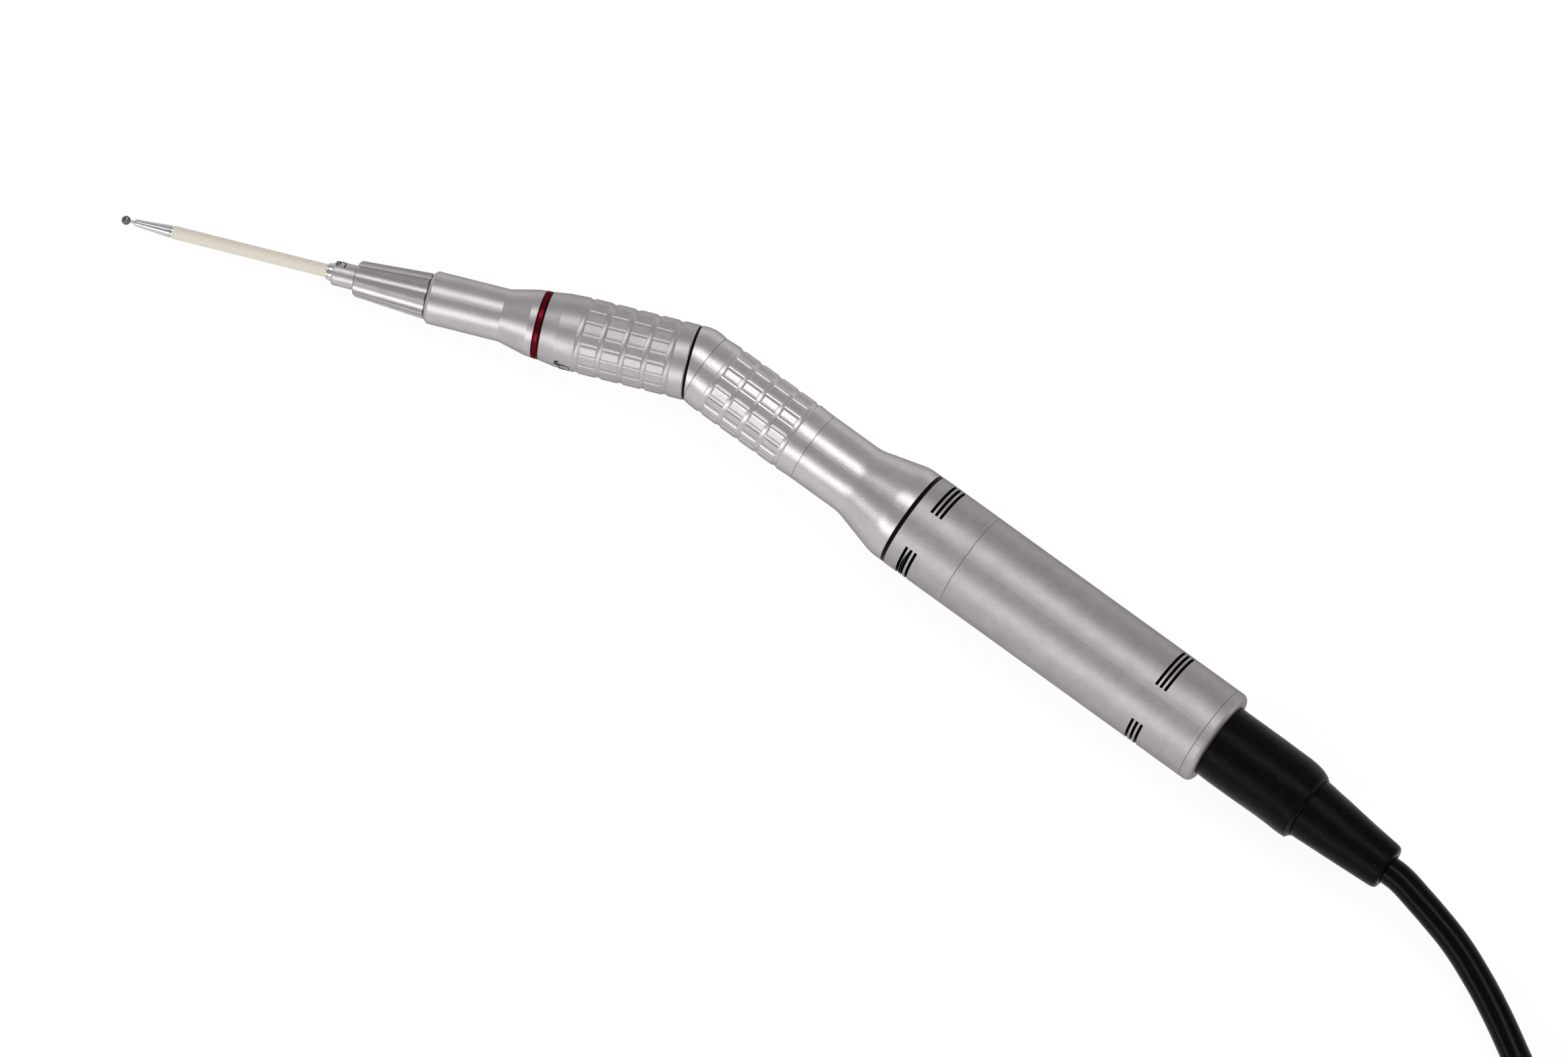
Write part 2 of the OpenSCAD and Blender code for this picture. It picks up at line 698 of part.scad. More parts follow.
module release_ring() {
    color([0.62, 0.62, 0.64]) forward() {
        ring(release_rear, release_rear + release_len, housing_bore_r - slide_fit, spindle_r + 0.15);
        for (side = [0, 180]) rotate([0, 0, side]) translate([housing_bore_r - 0.8, 0, release_pin])
            rotate([0, 90, 0]) cylinder(h = cam_r - 0.15 - housing_bore_r + 0.8, r = release_pin_r, $fn = 32);
    }
}

// Inner tube, with a straight slot for each pin of the release ring
module front_housing() {
    slot_r = release_pin_r + slide_fit;
    color([0.68, 0.68, 0.70]) forward() difference() {
        ring(sleeve_rear, housing_front, housing_r, housing_bore_r);
        bore(sleeve_rear - 1, neck_len + 0.1, neck_r + slide_fit);
        for (side = [0, 180]) rotate([0, 0, side]) {
            for (z = [release_pin, release_pin + release_travel]) translate([0, 0, z])
                rotate([0, 90, 0]) cylinder(h = housing_r + 1, r = slot_r, $fn = 32);
            translate([0, -slot_r, release_pin]) cube([housing_r + 1, 2 * slot_r, release_travel]);
        }
    }
}

module spindle() {
    driver_rear = shank_rear - 0.3;
    driver_r = shank_r + run_fit;
    color([0.66, 0.66, 0.68]) forward() difference() {
        turned([
            [0, gear_bore_front], [gear_seat_r - eps, gear_bore_front],
            [gear_seat_r - eps, first_bearing], [spindle_r, first_bearing],
            [spindle_r, spring_front], [chuck_r, spring_front], [chuck_r, front_bearing],
            [spindle_r, front_bearing], [spindle_r, spindle_front], [0, spindle_front]
        ]);
        difference() {
            bore(driver_rear, collet_rear + eps, driver_r);
            translate([driver_r - flat_depth, -shank_d, driver_rear - 1])
                cube([shank_d, 2 * shank_d, driver_len]);
        }
        bore(collet_rear, spindle_front + 1, spindle_bore_r);
        translate([0, 0, spindle_front - collet_head_len]) cylinder(
            h = collet_head_len + eps, r1 = spindle_bore_r, r2 = collet_head_r + slide_fit);
        translate([-chuck_pin_r - slide_fit, -spindle_d, chuck_pin - chuck_pin_r - slide_fit])
            cube([2 * (chuck_pin_r + slide_fit), 2 * spindle_d,
                chuck_travel + 2 * (chuck_pin_r + slide_fit)]);
    }
}

module collet() {
    slit = 0.35;
    front = collet_rear + collet_len;
    color([0.60, 0.60, 0.62]) forward() difference() {
        turned([
            [shank_r + run_fit, collet_rear], [collet_r, collet_rear],
            [collet_r, front - collet_head_len], [collet_head_r, front], [shank_r + run_fit, front]
        ]);
        for (a = [30, 150, 270]) rotate([0, 0, a]) translate([0, -slit / 2, collet_rear + 4.5])
            cube([collet_head_r + 1, slit, collet_len]);
        for (side = [-90, 90]) rotate([0, 0, side]) translate([0, 0, chuck_pin]) rotate([0, 90, 0])
            cylinder(h = collet_head_r, r = chuck_pin_r + eps, $fn = 32);
    }
}

module chuck_sleeve() {
    color([0.60, 0.60, 0.62]) forward() {
        ring(chuck_rear, chuck_rear + chuck_len, chuck_r, spindle_r + run_fit);
        for (side = [-90, 90]) rotate([0, 0, side]) translate([shank_r + 0.15, 0, chuck_pin])
            rotate([0, 90, 0]) cylinder(h = chuck_r - shank_r - 0.4, r = chuck_pin_r, $fn = 32);
    }
}

module chuck_spring() {
    z0 = chuck_rear + chuck_len + spring_wire_r + run_fit;
    z1 = spring_front - spring_wire_r - run_fit;
    steps = spring_turns * 10;
    path = [for (i = [0 : steps]) let (a = 360 * spring_turns * i / steps)
        [spring_r * cos(a), spring_r * sin(a), z0 + (z1 - z0) * i / steps]];
    color([0.55, 0.55, 0.57]) forward() cord_tube(path, [0, 1, 0], [0, 1, 0], spring_wire_r, 6);
}

module spindle_bearings() {
    color([0.75, 0.75, 0.77]) forward() for (z = [first_bearing, front_bearing])
        bearing_outer(z, spindle_r, housing_bore_r);
}

module spindle_bearing_bores() {
    color([0.75, 0.75, 0.77]) forward() for (z = [first_bearing, front_bearing])
        bearing_inner(z, spindle_r, housing_bore_r);
}

module spindle_gear() {
    color([0.70, 0.66, 0.52]) forward() crown_gear(270 + 180 / gear_teeth);
}

// ---------- Bend and rear of the attachment ----------

module elbow_seal() {
    color([0.03, 0.03, 0.03]) forward() ring(elbow_front, seal_front, elbow_r - 0.15, neck_r + slide_fit);
}

// Everything in front of a plane across the nose's axis
module in_front_of(f) { forward() translate([-50, -50, f]) cube([100, 100, 60]); }

// Ball-shaped bend, with a neck for the nose and a tube for the rear
module elbow_body() {
    tube_r = housing_r + 0.2;
    seat_r = drive_bearing_d / 2;
    second = tail_tube - 6.6;
    color([0.76, 0.76, 0.77]) difference() {
        union() {
            difference() {
                rearward() sphere(r = elbow_r);
                in_front_of(elbow_front);
                rearward() translate([0, 0, elbow_back + 30]) cube(60, center = true);
            }
            rearward() bore(elbow_back - 0.1, tail_tube, tube_r);
            forward() bore(0, neck_len, neck_r);
        }
        forward() bore(0, neck_len + 1, housing_bore_r);
        rearward() {
            sphere(r = housing_bore_r + 0.2);
            bore(0, first_bearing - 0.1, housing_bore_r);
            bore(0, first_bearing + bearing_w, seat_r);
            bore(first_bearing, tail_tube, seat_r - 0.6);
            bore(second, tail_tube + 1, seat_r);
            bore(second + bearing_w, tail_tube + 1, seat_r + 0.3);
        }
    }
}

module rear_grip() {
    tube_r = housing_r + 0.2;
    ball_r = sqrt(elbow_r * elbow_r - elbow_back * elbow_back);
    color([0.76, 0.76, 0.77]) difference() {
        rearward() grooved(
            elbow_back + rear_first_groove, grip_r, rear_flute_w, rear_flute_depth, 11.5
        ) turned([
                [tube_r + eps, elbow_back + 0.02], [ball_r - seam, elbow_back + 0.02],
                [ball_r, elbow_back + 0.02 + seam], [ball_r + 0.14, elbow_back + 1.4],
                [grip_r, elbow_back + 3.2],
                [grip_r, elbow_back + rear_first_groove + 4 * groove_pitch],
                [land_r - 0.05, grip_rear - 2], [barrel_d / 2, grip_rear - 0.1],
                [barrel_d / 2 - 0.1, grip_rear], [tube_r + eps, grip_rear]
            ]);
        in_front_of(elbow_front - 0.02);
    }
}

// Straight at the front, then an S-shaped flare up to the motor's diameter
module coupling_barrel() {
    r0 = barrel_d / 2;
    r1 = motor_r - 0.05;
    z0 = grip_rear + barrel_straight;
    tube_r = housing_r + 0.2;
    turn = flare_r * sin(flare_angle);
    rise = flare_r * (1 - cos(flare_angle));
    slope = (r1 - r0 - 2 * rise) / tan(flare_angle);
    color([0.76, 0.76, 0.77]) rearward() difference() {
        turned(concat(
            [[0, grip_rear], [r0 - 0.1, grip_rear], [r0, grip_rear + 0.1]],
            arc([r0 + flare_r, z0], flare_r, 180, 180 - flare_angle),
            arc([r1 - flare_r, z0 + 2 * turn + slope], flare_r, -flare_angle, 0),
            [[r1, barrel_rear - 0.15], [r1 - 0.15, barrel_rear], [0, barrel_rear]]
        ));
        bore(grip_rear - 1, tail_tube + eps, tube_r + eps);
        bore(tail_tube, barrel_rear + 1, nose_r + slide_fit);
        ring(snap_groove, snap_groove + snap_groove_w, nose_r + slide_fit + snap_depth, 1);
    }
}

// Split ring that holds the attachment on the nose
module snap_ring() {
    split = 8;
    color([0.50, 0.50, 0.52]) rearward() translate([0, 0, snap_groove + slide_fit])
        rotate_extrude(angle = 360 - split) translate([nose_r + 0.03, 0])
            square([snap_depth - 0.1, snap_groove_w - 2 * slide_fit]);
}

module drive_gear() {
    color([0.70, 0.66, 0.52]) rearward() crown_gear(90);
}

module drive_shaft() {
    color([0.66, 0.66, 0.68]) rearward() {
        turned([
            [0, gear_bore_front], [gear_seat_r - eps, gear_bore_front],
            [gear_seat_r - eps, first_bearing], [drive_r, first_bearing],
            [drive_r, drive_dog_front], [dog_r, drive_dog_front], [dog_r, claw_front], [0, claw_front]
        ]);
        claws(claw_front - eps, claw_front + dog_len, 0);
    }
}

module shaft_bearings() {
    color([0.75, 0.75, 0.77]) rearward() for (z = [first_bearing, tail_tube - 6.6])
        bearing_outer(z, drive_r, drive_bearing_d / 2);
}

module shaft_bearing_bores() {
    color([0.75, 0.75, 0.77]) rearward() for (z = [first_bearing, tail_tube - 6.6])
        bearing_inner(z, drive_r, drive_bearing_d / 2);
}

// ---------- Motor ----------

module coupling_seal() {
    color([0.03, 0.03, 0.03]) rearward() ring(barrel_rear, motor_front, motor_r - 0.08, nose_r + 2);
}

module nose_seals() {
    color([0.05, 0.05, 0.05]) rearward() for (z = seal_grooves) translate([0, 0, z])
        rotate_extrude() translate([nose_r - seal_r + eps, 0]) circle(r = seal_r, $fn = 24);
}

module motor_nose() {
    bore_r = dog_r + 1.1;
    color([0.70, 0.70, 0.72]) rearward() difference() {
        union() {
            turned([
                [bore_r, nose_tip], [nose_r - 0.6, nose_tip], [nose_r, nose_tip + 0.6],
                [nose_r, flange_front + flange_t], [bore_r, flange_front + flange_t]
            ]);
            ring(flange_front, flange_front + flange_t, motor_bore_r - eps, bore_r);
        }
        for (z = seal_grooves) ring(z - 0.5, z + 0.5, nose_r + 1, nose_r - 2 * seal_r);
        for (i = [0 : 2]) rotate([0, 0, 120 * i]) translate([screw_circle, 0, flange_front - 1])
            cylinder(h = flange_t + 2, r = screw_r + run_fit, $fn = 24);
    }
}

module vent_ring() {
    lap_r = motor_bore_r + lap_t + slide_fit;
    color([0.68, 0.67, 0.66]) rearward() difference() {
        turned([
            [nose_r + eps, motor_front], [motor_r - 0.15, motor_front], [motor_r, motor_front + 0.15],
            [motor_r, tube_front - seam], [motor_r - seam, tube_front], [lap_r, tube_front],
            [lap_r, tube_front - lap_len], [motor_bore_r, tube_front - lap_len],
            [motor_bore_r, flange_front], [nose_r + eps, flange_front]
        ]);
        vent_slots(front_slots, -54);
    }
}

module motor_tube() {
    color([0.68, 0.67, 0.66]) rearward() difference() {
        turned([
            [motor_bore_r, tube_front - lap_len + 0.1], [motor_bore_r + lap_t, tube_front - lap_len + 0.1],
            [motor_bore_r + lap_t, tube_front], [motor_r - seam, tube_front], [motor_r, tube_front + seam],
            [motor_r, tube_rear - seam], [motor_r - seam, tube_rear], [motor_bore_r, tube_rear]
        ]);
        vent_slots(rear_slots, -45);
    }
}

module end_cap() {
    lip = 1.5;
    spigot_r = motor_bore_r - eps;
    color([0.70, 0.69, 0.68]) rearward() turned(concat(
        [[cap_spigot_r, tube_rear - lap_len], [spigot_r, tube_rear - lap_len], [spigot_r, tube_rear],
            [motor_r - seam, tube_rear], [motor_r, tube_rear + seam]],
        arc([motor_r - lip, cap_rear - lip], lip, 0, 70, 5),
        [[cap_hole_r + 0.1, cap_rear], [cap_hole_r, cap_rear - 0.1],
            [cap_hole_r, tube_rear], [cap_spigot_r, tube_rear]]
    ));
}

module bearing_plate(z, bearing_z) {
    difference() {
        bore(z, z + plate_t, motor_bore_r - eps);
        bore(z - 1, z + plate_t + 1, motor_shaft_r + 1.2);
        bore(bearing_z, bearing_z + bearing_w + plate_t, plate_bearing_r);
        for (i = [0 : plate_holes - 1]) rotate([0, 0, 30 + 60 * i])
            translate([vent_circle, 0, z - 1]) cylinder(h = plate_t + 2, r = 1.3, $fn = 32);
        for (i = [0 : 2]) rotate([0, 0, 120 * i]) translate([screw_circle, 0, z - 1])
            cylinder(h = plate_t + 2, r = screw_r + run_fit, $fn = 24);
    }
}

module bearing_plates() {
    color([0.62, 0.62, 0.64]) rearward() {
        bearing_plate(front_plate, front_plate + plate_t - bearing_w);
        bearing_plate(rear_plate, rear_plate + plate_t - bearing_w);
    }
}

module plate_screws() {
    color([0.45, 0.45, 0.47]) rearward() for (i = [0 : 2]) rotate([0, 0, 120 * i])
        translate([screw_circle, 0, 0]) {
            bore(flange_front + 0.1, front_plate + plate_t + 0.1, screw_r);
            bore(front_plate + plate_t, front_plate + plate_t + 0.9, 1.45);
        }
}

module stator_core() {
    color([0.40, 0.40, 0.42]) rearward() difference() {
        ring(stator_front, stator_rear, motor_bore_r - eps, stator_bore_d / 2);
        for (i = [0 : 5]) rotate([0, 0, 60 * i]) translate([coil_circle, 0, stator_front - 1])
            cylinder(h = stator_len + 2, r = coil_r + eps, $fn = 32);
    }
}

module windings() {
    turn_r = min(end_turn_r, motor_bore_r - coil_circle - 0.1);
    color([0.72, 0.40, 0.20]) rearward() {
        for (i = [0 : 5]) rotate([0, 0, 60 * i]) translate([coil_circle, 0, stator_front - 1])
            cylinder(h = stator_len + 2, r = coil_r, $fn = 32);
        for (z = [stator_front - turn_r, stator_rear + turn_r]) translate([0, 0, z])
            rotate_extrude() translate([coil_circle, 0]) circle(r = turn_r, $fn = 32);
    }
}

module rotor_magnet() {
    color([0.50, 0.50, 0.53]) rearward()
        ring(stator_front - 1, stator_rear + 1, stator_bore_d / 2 - air_gap, motor_shaft_r + eps);
}

module motor_shaft() {
    color([0.70, 0.70, 0.72]) rearward() {
        bore(motor_dog_front, rear_plate + plate_t + 1, motor_shaft_r);
        bore(motor_dog_front, motor_dog_front + dog_root, dog_r);
        claws(motor_claw_front, motor_dog_front + eps, 90);
    }
}

module motor_bearings() {
    color([0.75, 0.75, 0.77]) rearward() for (z = [front_plate, rear_plate])
        bearing_outer(z + plate_t - bearing_w, motor_shaft_r, plate_bearing_r);
}

module motor_bearing_bores() {
    color([0.75, 0.75, 0.77]) rearward() for (z = [front_plate, rear_plate])
        bearing_inner(z + plate_t - bearing_w, motor_shaft_r, plate_bearing_r);
}

module sensor_board() {
    color([0.10, 0.32, 0.20]) rearward()
        ring(sensor_board_front, sensor_board_front + board_t, motor_bore_r - eps, motor_shaft_r + 1.2);
}

module lead_wires() {
    color([0.75, 0.12, 0.10]) rearward() for (i = [0 : 4]) rotate([0, 0, 30 + 60 * i])
        translate([vent_circle, 0, 0]) bore(sensor_board_front + board_t, boot_front, 0.55);
}

// ---------- Boot, cord and plug ----------

module boot_body() {
    shoulder = relief_d / 2 - 0.1;
    edge = 2;
    round_z = boot_rear - 1.3 - edge;
    flange_r = cap_spigot_r - eps;
    color([0.05, 0.05, 0.055]) rearward() turned(concat(
        [[0, boot_front], [flange_r, boot_front], [flange_r, tube_rear - eps],
            [boot_r - 0.1, tube_rear - eps], [boot_r - 0.1, cap_rear + 0.5], [boot_r, cap_rear + 12]],
        arc([boot_r - edge, round_z], edge, 0, 60, 5),
        [[shoulder + 0.45, boot_rear - 0.5], [shoulder, boot_rear - 0.4],
            [shoulder, boot_rear], [0, boot_rear]]
    ));
}

module relief_place() {
    rearward() translate([0, relief_shift, relief_front]) rotate([-relief_tilt, 0, 0]) children();
}

module cord_relief() {
    r0 = relief_d / 2;
    r1 = relief_end_d / 2;
    color([0.05, 0.05, 0.055]) relief_place() turned(concat(
        [[0, 0], [r0 - 0.15, 0], [r0, 0.2]],
        arc([r1 - 0.8, relief_len - 0.8], 0.8, 5, 90, 5),
        [[0, relief_len]]
    ));
}

// The hank winds inwards on the lower layer, climbs over one run, and winds outwards on top
loop_steps = 2 * (run_steps + fold_steps);
hank_out_r = hank_in_r + hank_pitch * hank_turns;
hank_climb = run_steps / loop_steps;
hank_end = 2 * hank_turns + hank_climb;
hank_count = hank_end * loop_steps;
function hank_place(t, r, z) = let (
        k = (t - floor(t)) * loop_steps,
        far = [hank_near[0] - hank_run, hank_near[1]],
        half = run_steps + fold_steps,
        a = 180 / fold_steps * (k <= half ? k - run_steps : k - half - run_steps)
    )
    k <= run_steps ? [hank_near[0] - hank_run * k / run_steps, hank_near[1] + r, z]
    : k <= half ? [far[0] + r * cos(90 + a), far[1] + r * sin(90 + a), z]
    : k <= half + run_steps ? [far[0] + hank_run * (k - half) / run_steps, far[1] - r, z]
    : [hank_near[0] + r * cos(a - 90), hank_near[1] + r * sin(a - 90), z];
function hank_radius(t) = let (past = t - hank_turns)
    past < 0 ? hank_out_r - hank_pitch * t
    : past < hank_climb ? hank_in_r - hank_dip * sin(180 * past / hank_climb)
    : hank_in_r + hank_pitch * (past - hank_climb);
function hank_point(i) = let (
        t = i / loop_steps,
        climb = min(max((t - hank_turns) / hank_climb, 0), 1)
    ) hank_place(t, hank_radius(t), hank_z + hank_pitch * (1 - cos(180 * climb)) / 2);
hank_path = [for (i = [0 : hank_count]) hank_point(i)];

// Over the far fold the cord rolls up on to the turn beside it, and into the valley between two
function over_point(i) = let (
        t = hank_end + i / loop_steps,
        a = 60 * (1 - cos(180 * min(i / fold_steps, 1)))
    ) hank_place(t, hank_radius(t - 1) + hank_pitch * cos(a), hank_z + hank_pitch * (1 + sin(a)));
over_path = [for (i = [1 : fold_steps]) over_point(i)];
plug_bed = plug_r + cord_r + plug_rest;
plug_x = hank_near[0] - plug_ahead;
plug_i = fold_steps + run_steps * (1 - plug_ahead / hank_run);
plug_start = [plug_x, over_point(plug_i)[1], hank_z + hank_pitch + plug_bed];
tail_rise = plug_start[2] - over_point(fold_steps)[2];
tail_len = plug_x - hank_near[0] + hank_run;
tail_path = concat(
    [hank_point(hank_count)], over_path,
    [for (u = [0.2, 0.4, 0.6, 0.8]) let (v = u * tail_len) [
        hank_near[0] - hank_run + v,
        over_point(fold_steps + run_steps * v / hank_run)[1],
        plug_start[2] - tail_rise * (1 + cos(180 * u)) / 2
    ]],
    [plug_start]
);
run_path = concat(
    [cord_exit, cord_exit + exit_run * exit_dir], run_points, [for (i = [-2 : 0]) hank_point(i)]
);
function path_len(p) =
    let (steps = [for (i = [1 : len(p) - 1]) norm(p[i] - p[i - 1])]) steps * [for (s = steps) 1];
wound = concat(hank_path, over_path);
half_loop = loop_steps / 2;
hank_least = min([for (i = [0 : len(wound) - half_loop - 2], j = [i + half_loop + 1 : len(wound) - 1])
    norm(wound[i] - wound[j])]);
echo(str("least gap of the hank to itself, mm: ", hank_least - cord_d));
echo(str("cord length, mm: ", path_len(run_path) + path_len(hank_path) + path_len(tail_path)));

module cord_run() {
    color([0.04, 0.04, 0.045]) at_bend() cord_tube(run_path, exit_dir, [-1, 0, 0], cord_r, tube_sides);
}

module cord_coil() {
    color([0.04, 0.04, 0.045]) at_bend() cord_tube(hank_path, [-1, 0, 0], [-1, 0, 0], cord_r, hank_sides);
}

module cord_tail() {
    color([0.04, 0.04, 0.045]) at_bend() cord_tube(tail_path, [-1, 0, 0], [1, 0, 0], cord_r, tube_sides);
}

// Strap round the whole bundle of one run
module cord_tie() {
    r0 = hank_in_r - hank_dip - cord_r - tie_gap;
    r1 = hank_out_r + cord_r + tie_gap;
    z0 = hank_lift - tie_gap;
    z1 = hank_z + hank_pitch + cord_r + tie_gap;
    color([0.10, 0.10, 0.11]) at_bend() translate([hank_near[0] - hank_run / 2, hank_near[1], 0])
        rotate([90, 0, 90]) linear_extrude(height = tie_w, center = true) difference() {
            translate([r0 - tie_t, z0 - tie_t]) square([r1 - r0 + 2 * tie_t, z1 - z0 + 2 * tie_t]);
            translate([r0, z0]) square([r1 - r0, z1 - z0]);
        }
}

// Plug, along +X from the end of the cord
module plug_place() { at_bend() translate(plug_start) rotate([0, 90, 0]) children(); }

module plug_boot() {
    color([0.06, 0.06, 0.065]) plug_place() turned([
        [0, 0], [cord_r + 0.7, 0], [cord_r + 1, 0.4], [plug_r - 1.6, plug_boot_len], [0, plug_boot_len]
    ]);
}

module plug_shell() {
    r = plug_r - 0.2;
    shell_front = sleeve_start - plug_travel - loose_fit;
    color([0.72, 0.72, 0.73]) plug_place() difference() {
        turned([
            [0, plug_boot_len], [r - 0.6, plug_boot_len], [r, plug_boot_len + 0.8], [r, shell_front],
            [plug_neck_r, shell_front], [plug_neck_r, plug_nose_start],
            [plug_nose_r, plug_nose_start], [plug_nose_r, plug_face - 0.4],
            [plug_nose_r - 0.4, plug_face], [0, plug_face]
        ]);
        bore(plug_face - plug_bore_len, plug_face + 1, plug_bore_r);
    }
}

module plug_sleeve() {
    color([0.74, 0.74, 0.75]) plug_place() difference() {
        ring(sleeve_start, plug_nose_start - 2 * face_gap, plug_r, plug_neck_r + slide_fit);
        for (i = [0 : 3]) translate([0, 0, sleeve_start + 2.2 + 2.4 * i])
            ring(0, 1, plug_r + 1, plug_r - 0.4);
    }
}

module at_pins() {
    for (i = [0 : plug_pin_count - 1]) rotate([0, 0, i * 360 / plug_pin_count])
        translate([pin_circle, 0, 0]) children();
}

module plug_insert() {
    color([0.12, 0.12, 0.13]) plug_place() difference() {
        bore(plug_face - plug_bore_len, plug_face - 1, plug_bore_r);
        at_pins() bore(plug_face - plug_bore_len - 1, plug_face, pin_r + run_fit);
    }
}

module plug_pins() {
    color([0.80, 0.68, 0.35]) plug_place() at_pins()
        bore(plug_face - plug_bore_len, plug_face - 0.4, pin_r);
}

bur_head();
bur_shank();
guard_tip();
guard_sleeve();
guard_core();
guard_collar();
size_collar();
nose_hub();
hub_bushings();
front_barrel();
ratio_ring();
ratio_ring_edges();
lock_sleeve();
release_ring();
front_housing();
spindle();
collet();
chuck_sleeve();
chuck_spring();
spindle_bearings();
spindle_bearing_bores();
spindle_gear();
elbow_seal();
elbow_body();
rear_grip();
coupling_barrel();
snap_ring();
drive_gear();
drive_shaft();
shaft_bearings();
shaft_bearing_bores();
coupling_seal();
nose_seals();
motor_nose();
vent_ring();
motor_tube();
end_cap();
bearing_plates();
plate_screws();
stator_core();
windings();
rotor_magnet();
motor_shaft();
motor_bearings();
motor_bearing_bores();
sensor_board();
lead_wires();
boot_body();
cord_relief();
cord_run();
cord_coil();
cord_tail();
cord_tie();
plug_boot();
plug_shell();
plug_sleeve();
plug_insert();
plug_pins();
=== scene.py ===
import math

import bmesh
import bpy
from mathutils import Matrix, Vector


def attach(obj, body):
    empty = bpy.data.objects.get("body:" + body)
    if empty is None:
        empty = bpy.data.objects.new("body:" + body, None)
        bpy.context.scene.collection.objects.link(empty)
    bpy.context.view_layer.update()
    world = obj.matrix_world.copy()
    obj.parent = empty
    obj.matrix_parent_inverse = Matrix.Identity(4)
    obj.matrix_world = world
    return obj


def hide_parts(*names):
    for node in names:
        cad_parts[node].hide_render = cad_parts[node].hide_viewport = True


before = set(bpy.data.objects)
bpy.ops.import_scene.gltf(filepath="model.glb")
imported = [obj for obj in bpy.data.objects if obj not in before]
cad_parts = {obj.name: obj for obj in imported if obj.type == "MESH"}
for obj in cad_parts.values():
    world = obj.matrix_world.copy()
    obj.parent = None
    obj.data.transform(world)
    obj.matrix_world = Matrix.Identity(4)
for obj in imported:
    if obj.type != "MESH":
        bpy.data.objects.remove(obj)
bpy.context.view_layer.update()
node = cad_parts

# ---------------------------------------------------------------- camera
# A long lens looks almost straight down on the tool, eight degrees towards
# its cord, with the motor lying from lower right to upper left.

axis_height = 0.011
bend = Vector((0.0320726, -0.0175868, axis_height))
roll = math.radians(12.482)
tilt = math.radians(8)
upper = Vector((0, math.sin(roll), math.cos(roll)))
inner = Vector((0, math.cos(roll), -math.sin(roll)))
ahead = Vector((1, 0, 0))
to_camera = upper * math.cos(tilt) - ahead * math.sin(tilt)
along = ahead * math.cos(tilt) + upper * math.sin(tilt)
lie_across, lie_down = 0.8106, 0.5856
right = -lie_across * along - lie_down * inner
up = lie_down * along - lie_across * inner

pixels_per_metre = 7000
wide, high = 2325, 1568
bend_across, bend_down = 1034.6, 540
lens, sensor = 800, 36
distance = lens / sensor * (wide / pixels_per_metre)
target = (
    bend
    + right * (wide / 2 - bend_across) / pixels_per_metre
    - up * (high / 2 - bend_down) / pixels_per_metre
)

camera_data = bpy.data.cameras.new("camera")
camera_data.lens = lens
camera_data.sensor_width = sensor
camera_data.clip_start = 0.5
camera_data.clip_end = 50
camera = bpy.data.objects.new("camera", camera_data)
bpy.context.scene.collection.objects.link(camera)
turn = Matrix((right, up, to_camera)).transposed()
camera.matrix_world = Matrix.Translation(target + to_camera * distance) @ turn.to_4x4()
bpy.context.scene.camera = camera

# ---------------------------------------------------------------- floor
# A white sheet under the tool. It shows white to the camera and in
# reflections, and keeps a soft shadow.


def new_material(name):
    material = bpy.data.materials.new(name)
    material.use_nodes = True
    tree = material.node_tree
    return material, tree.nodes, tree.links, tree.nodes["Principled BSDF"]


bpy.ops.object.select_all(action="DESELECT")
bpy.ops.mesh.primitive_plane_add(size=12, location=(0, 0, -0.0002))
floor = bpy.context.object
floor.name = "floor"
bpy.ops.object.transform_apply(location=True, rotation=True, scale=True)
paper, nodes, links, shader = new_material("floor_paper")
shader.inputs["Base Color"].default_value = (0.9, 0.9, 0.9, 1)
shader.inputs["Roughness"].default_value = 0.9
glow = nodes.new("ShaderNodeEmission")
glow.inputs["Color"].default_value = (1, 1, 1, 1)
glow.inputs["Strength"].default_value = 1.04
rays = nodes.new("ShaderNodeLightPath")
seen = nodes.new("ShaderNodeMath")
seen.operation = "MAXIMUM"
links.new(rays.outputs["Is Camera Ray"], seen.inputs[0])
links.new(rays.outputs["Is Glossy Ray"], seen.inputs[1])
seen_through = nodes.new("ShaderNodeMath")
seen_through.operation = "MAXIMUM"
links.new(seen.outputs[0], seen_through.inputs[0])
links.new(rays.outputs["Is Transmission Ray"], seen_through.inputs[1])
share = nodes.new("ShaderNodeMath")
share.operation = "MULTIPLY"
share.inputs[1].default_value = 0.88
links.new(seen_through.outputs[0], share.inputs[0])
blend = nodes.new("ShaderNodeMixShader")
links.new(share.outputs[0], blend.inputs[0])
links.new(shader.outputs[0], blend.inputs[1])
links.new(glow.outputs[0], blend.inputs[2])
links.new(blend.outputs[0], nodes["Material Output"].inputs["Surface"])
floor.data.materials.append(paper)

# ---------------------------------------------------------------- light
# Two long soft boxes run along the tool, one above it and one on the inner
# side, in a room that is pale at the walls and darker overhead.

world = bpy.data.worlds.new("room")
world.use_nodes = True
nodes, links = world.node_tree.nodes, world.node_tree.links
place = nodes.new("ShaderNodeTexCoord")
parts = nodes.new("ShaderNodeSeparateXYZ")
links.new(place.outputs["Generated"], parts.inputs[0])
ramp = nodes.new("ShaderNodeValToRGB")
ramp.color_ramp.elements[0].position = 0.0
ramp.color_ramp.elements[0].color = (0.60, 0.60, 0.61, 1)
ramp.color_ramp.elements[1].position = 0.7
ramp.color_ramp.elements[1].color = (0.44, 0.43, 0.44, 1)
links.new(parts.outputs["Z"], ramp.inputs["Fac"])
links.new(ramp.outputs["Color"], nodes["Background"].inputs["Color"])
nodes["Background"].inputs["Strength"].default_value = 1.0
bpy.context.scene.world = world

tool_middle = bend - along * 0.05
box_reach, box_length = 0.9, 1.6


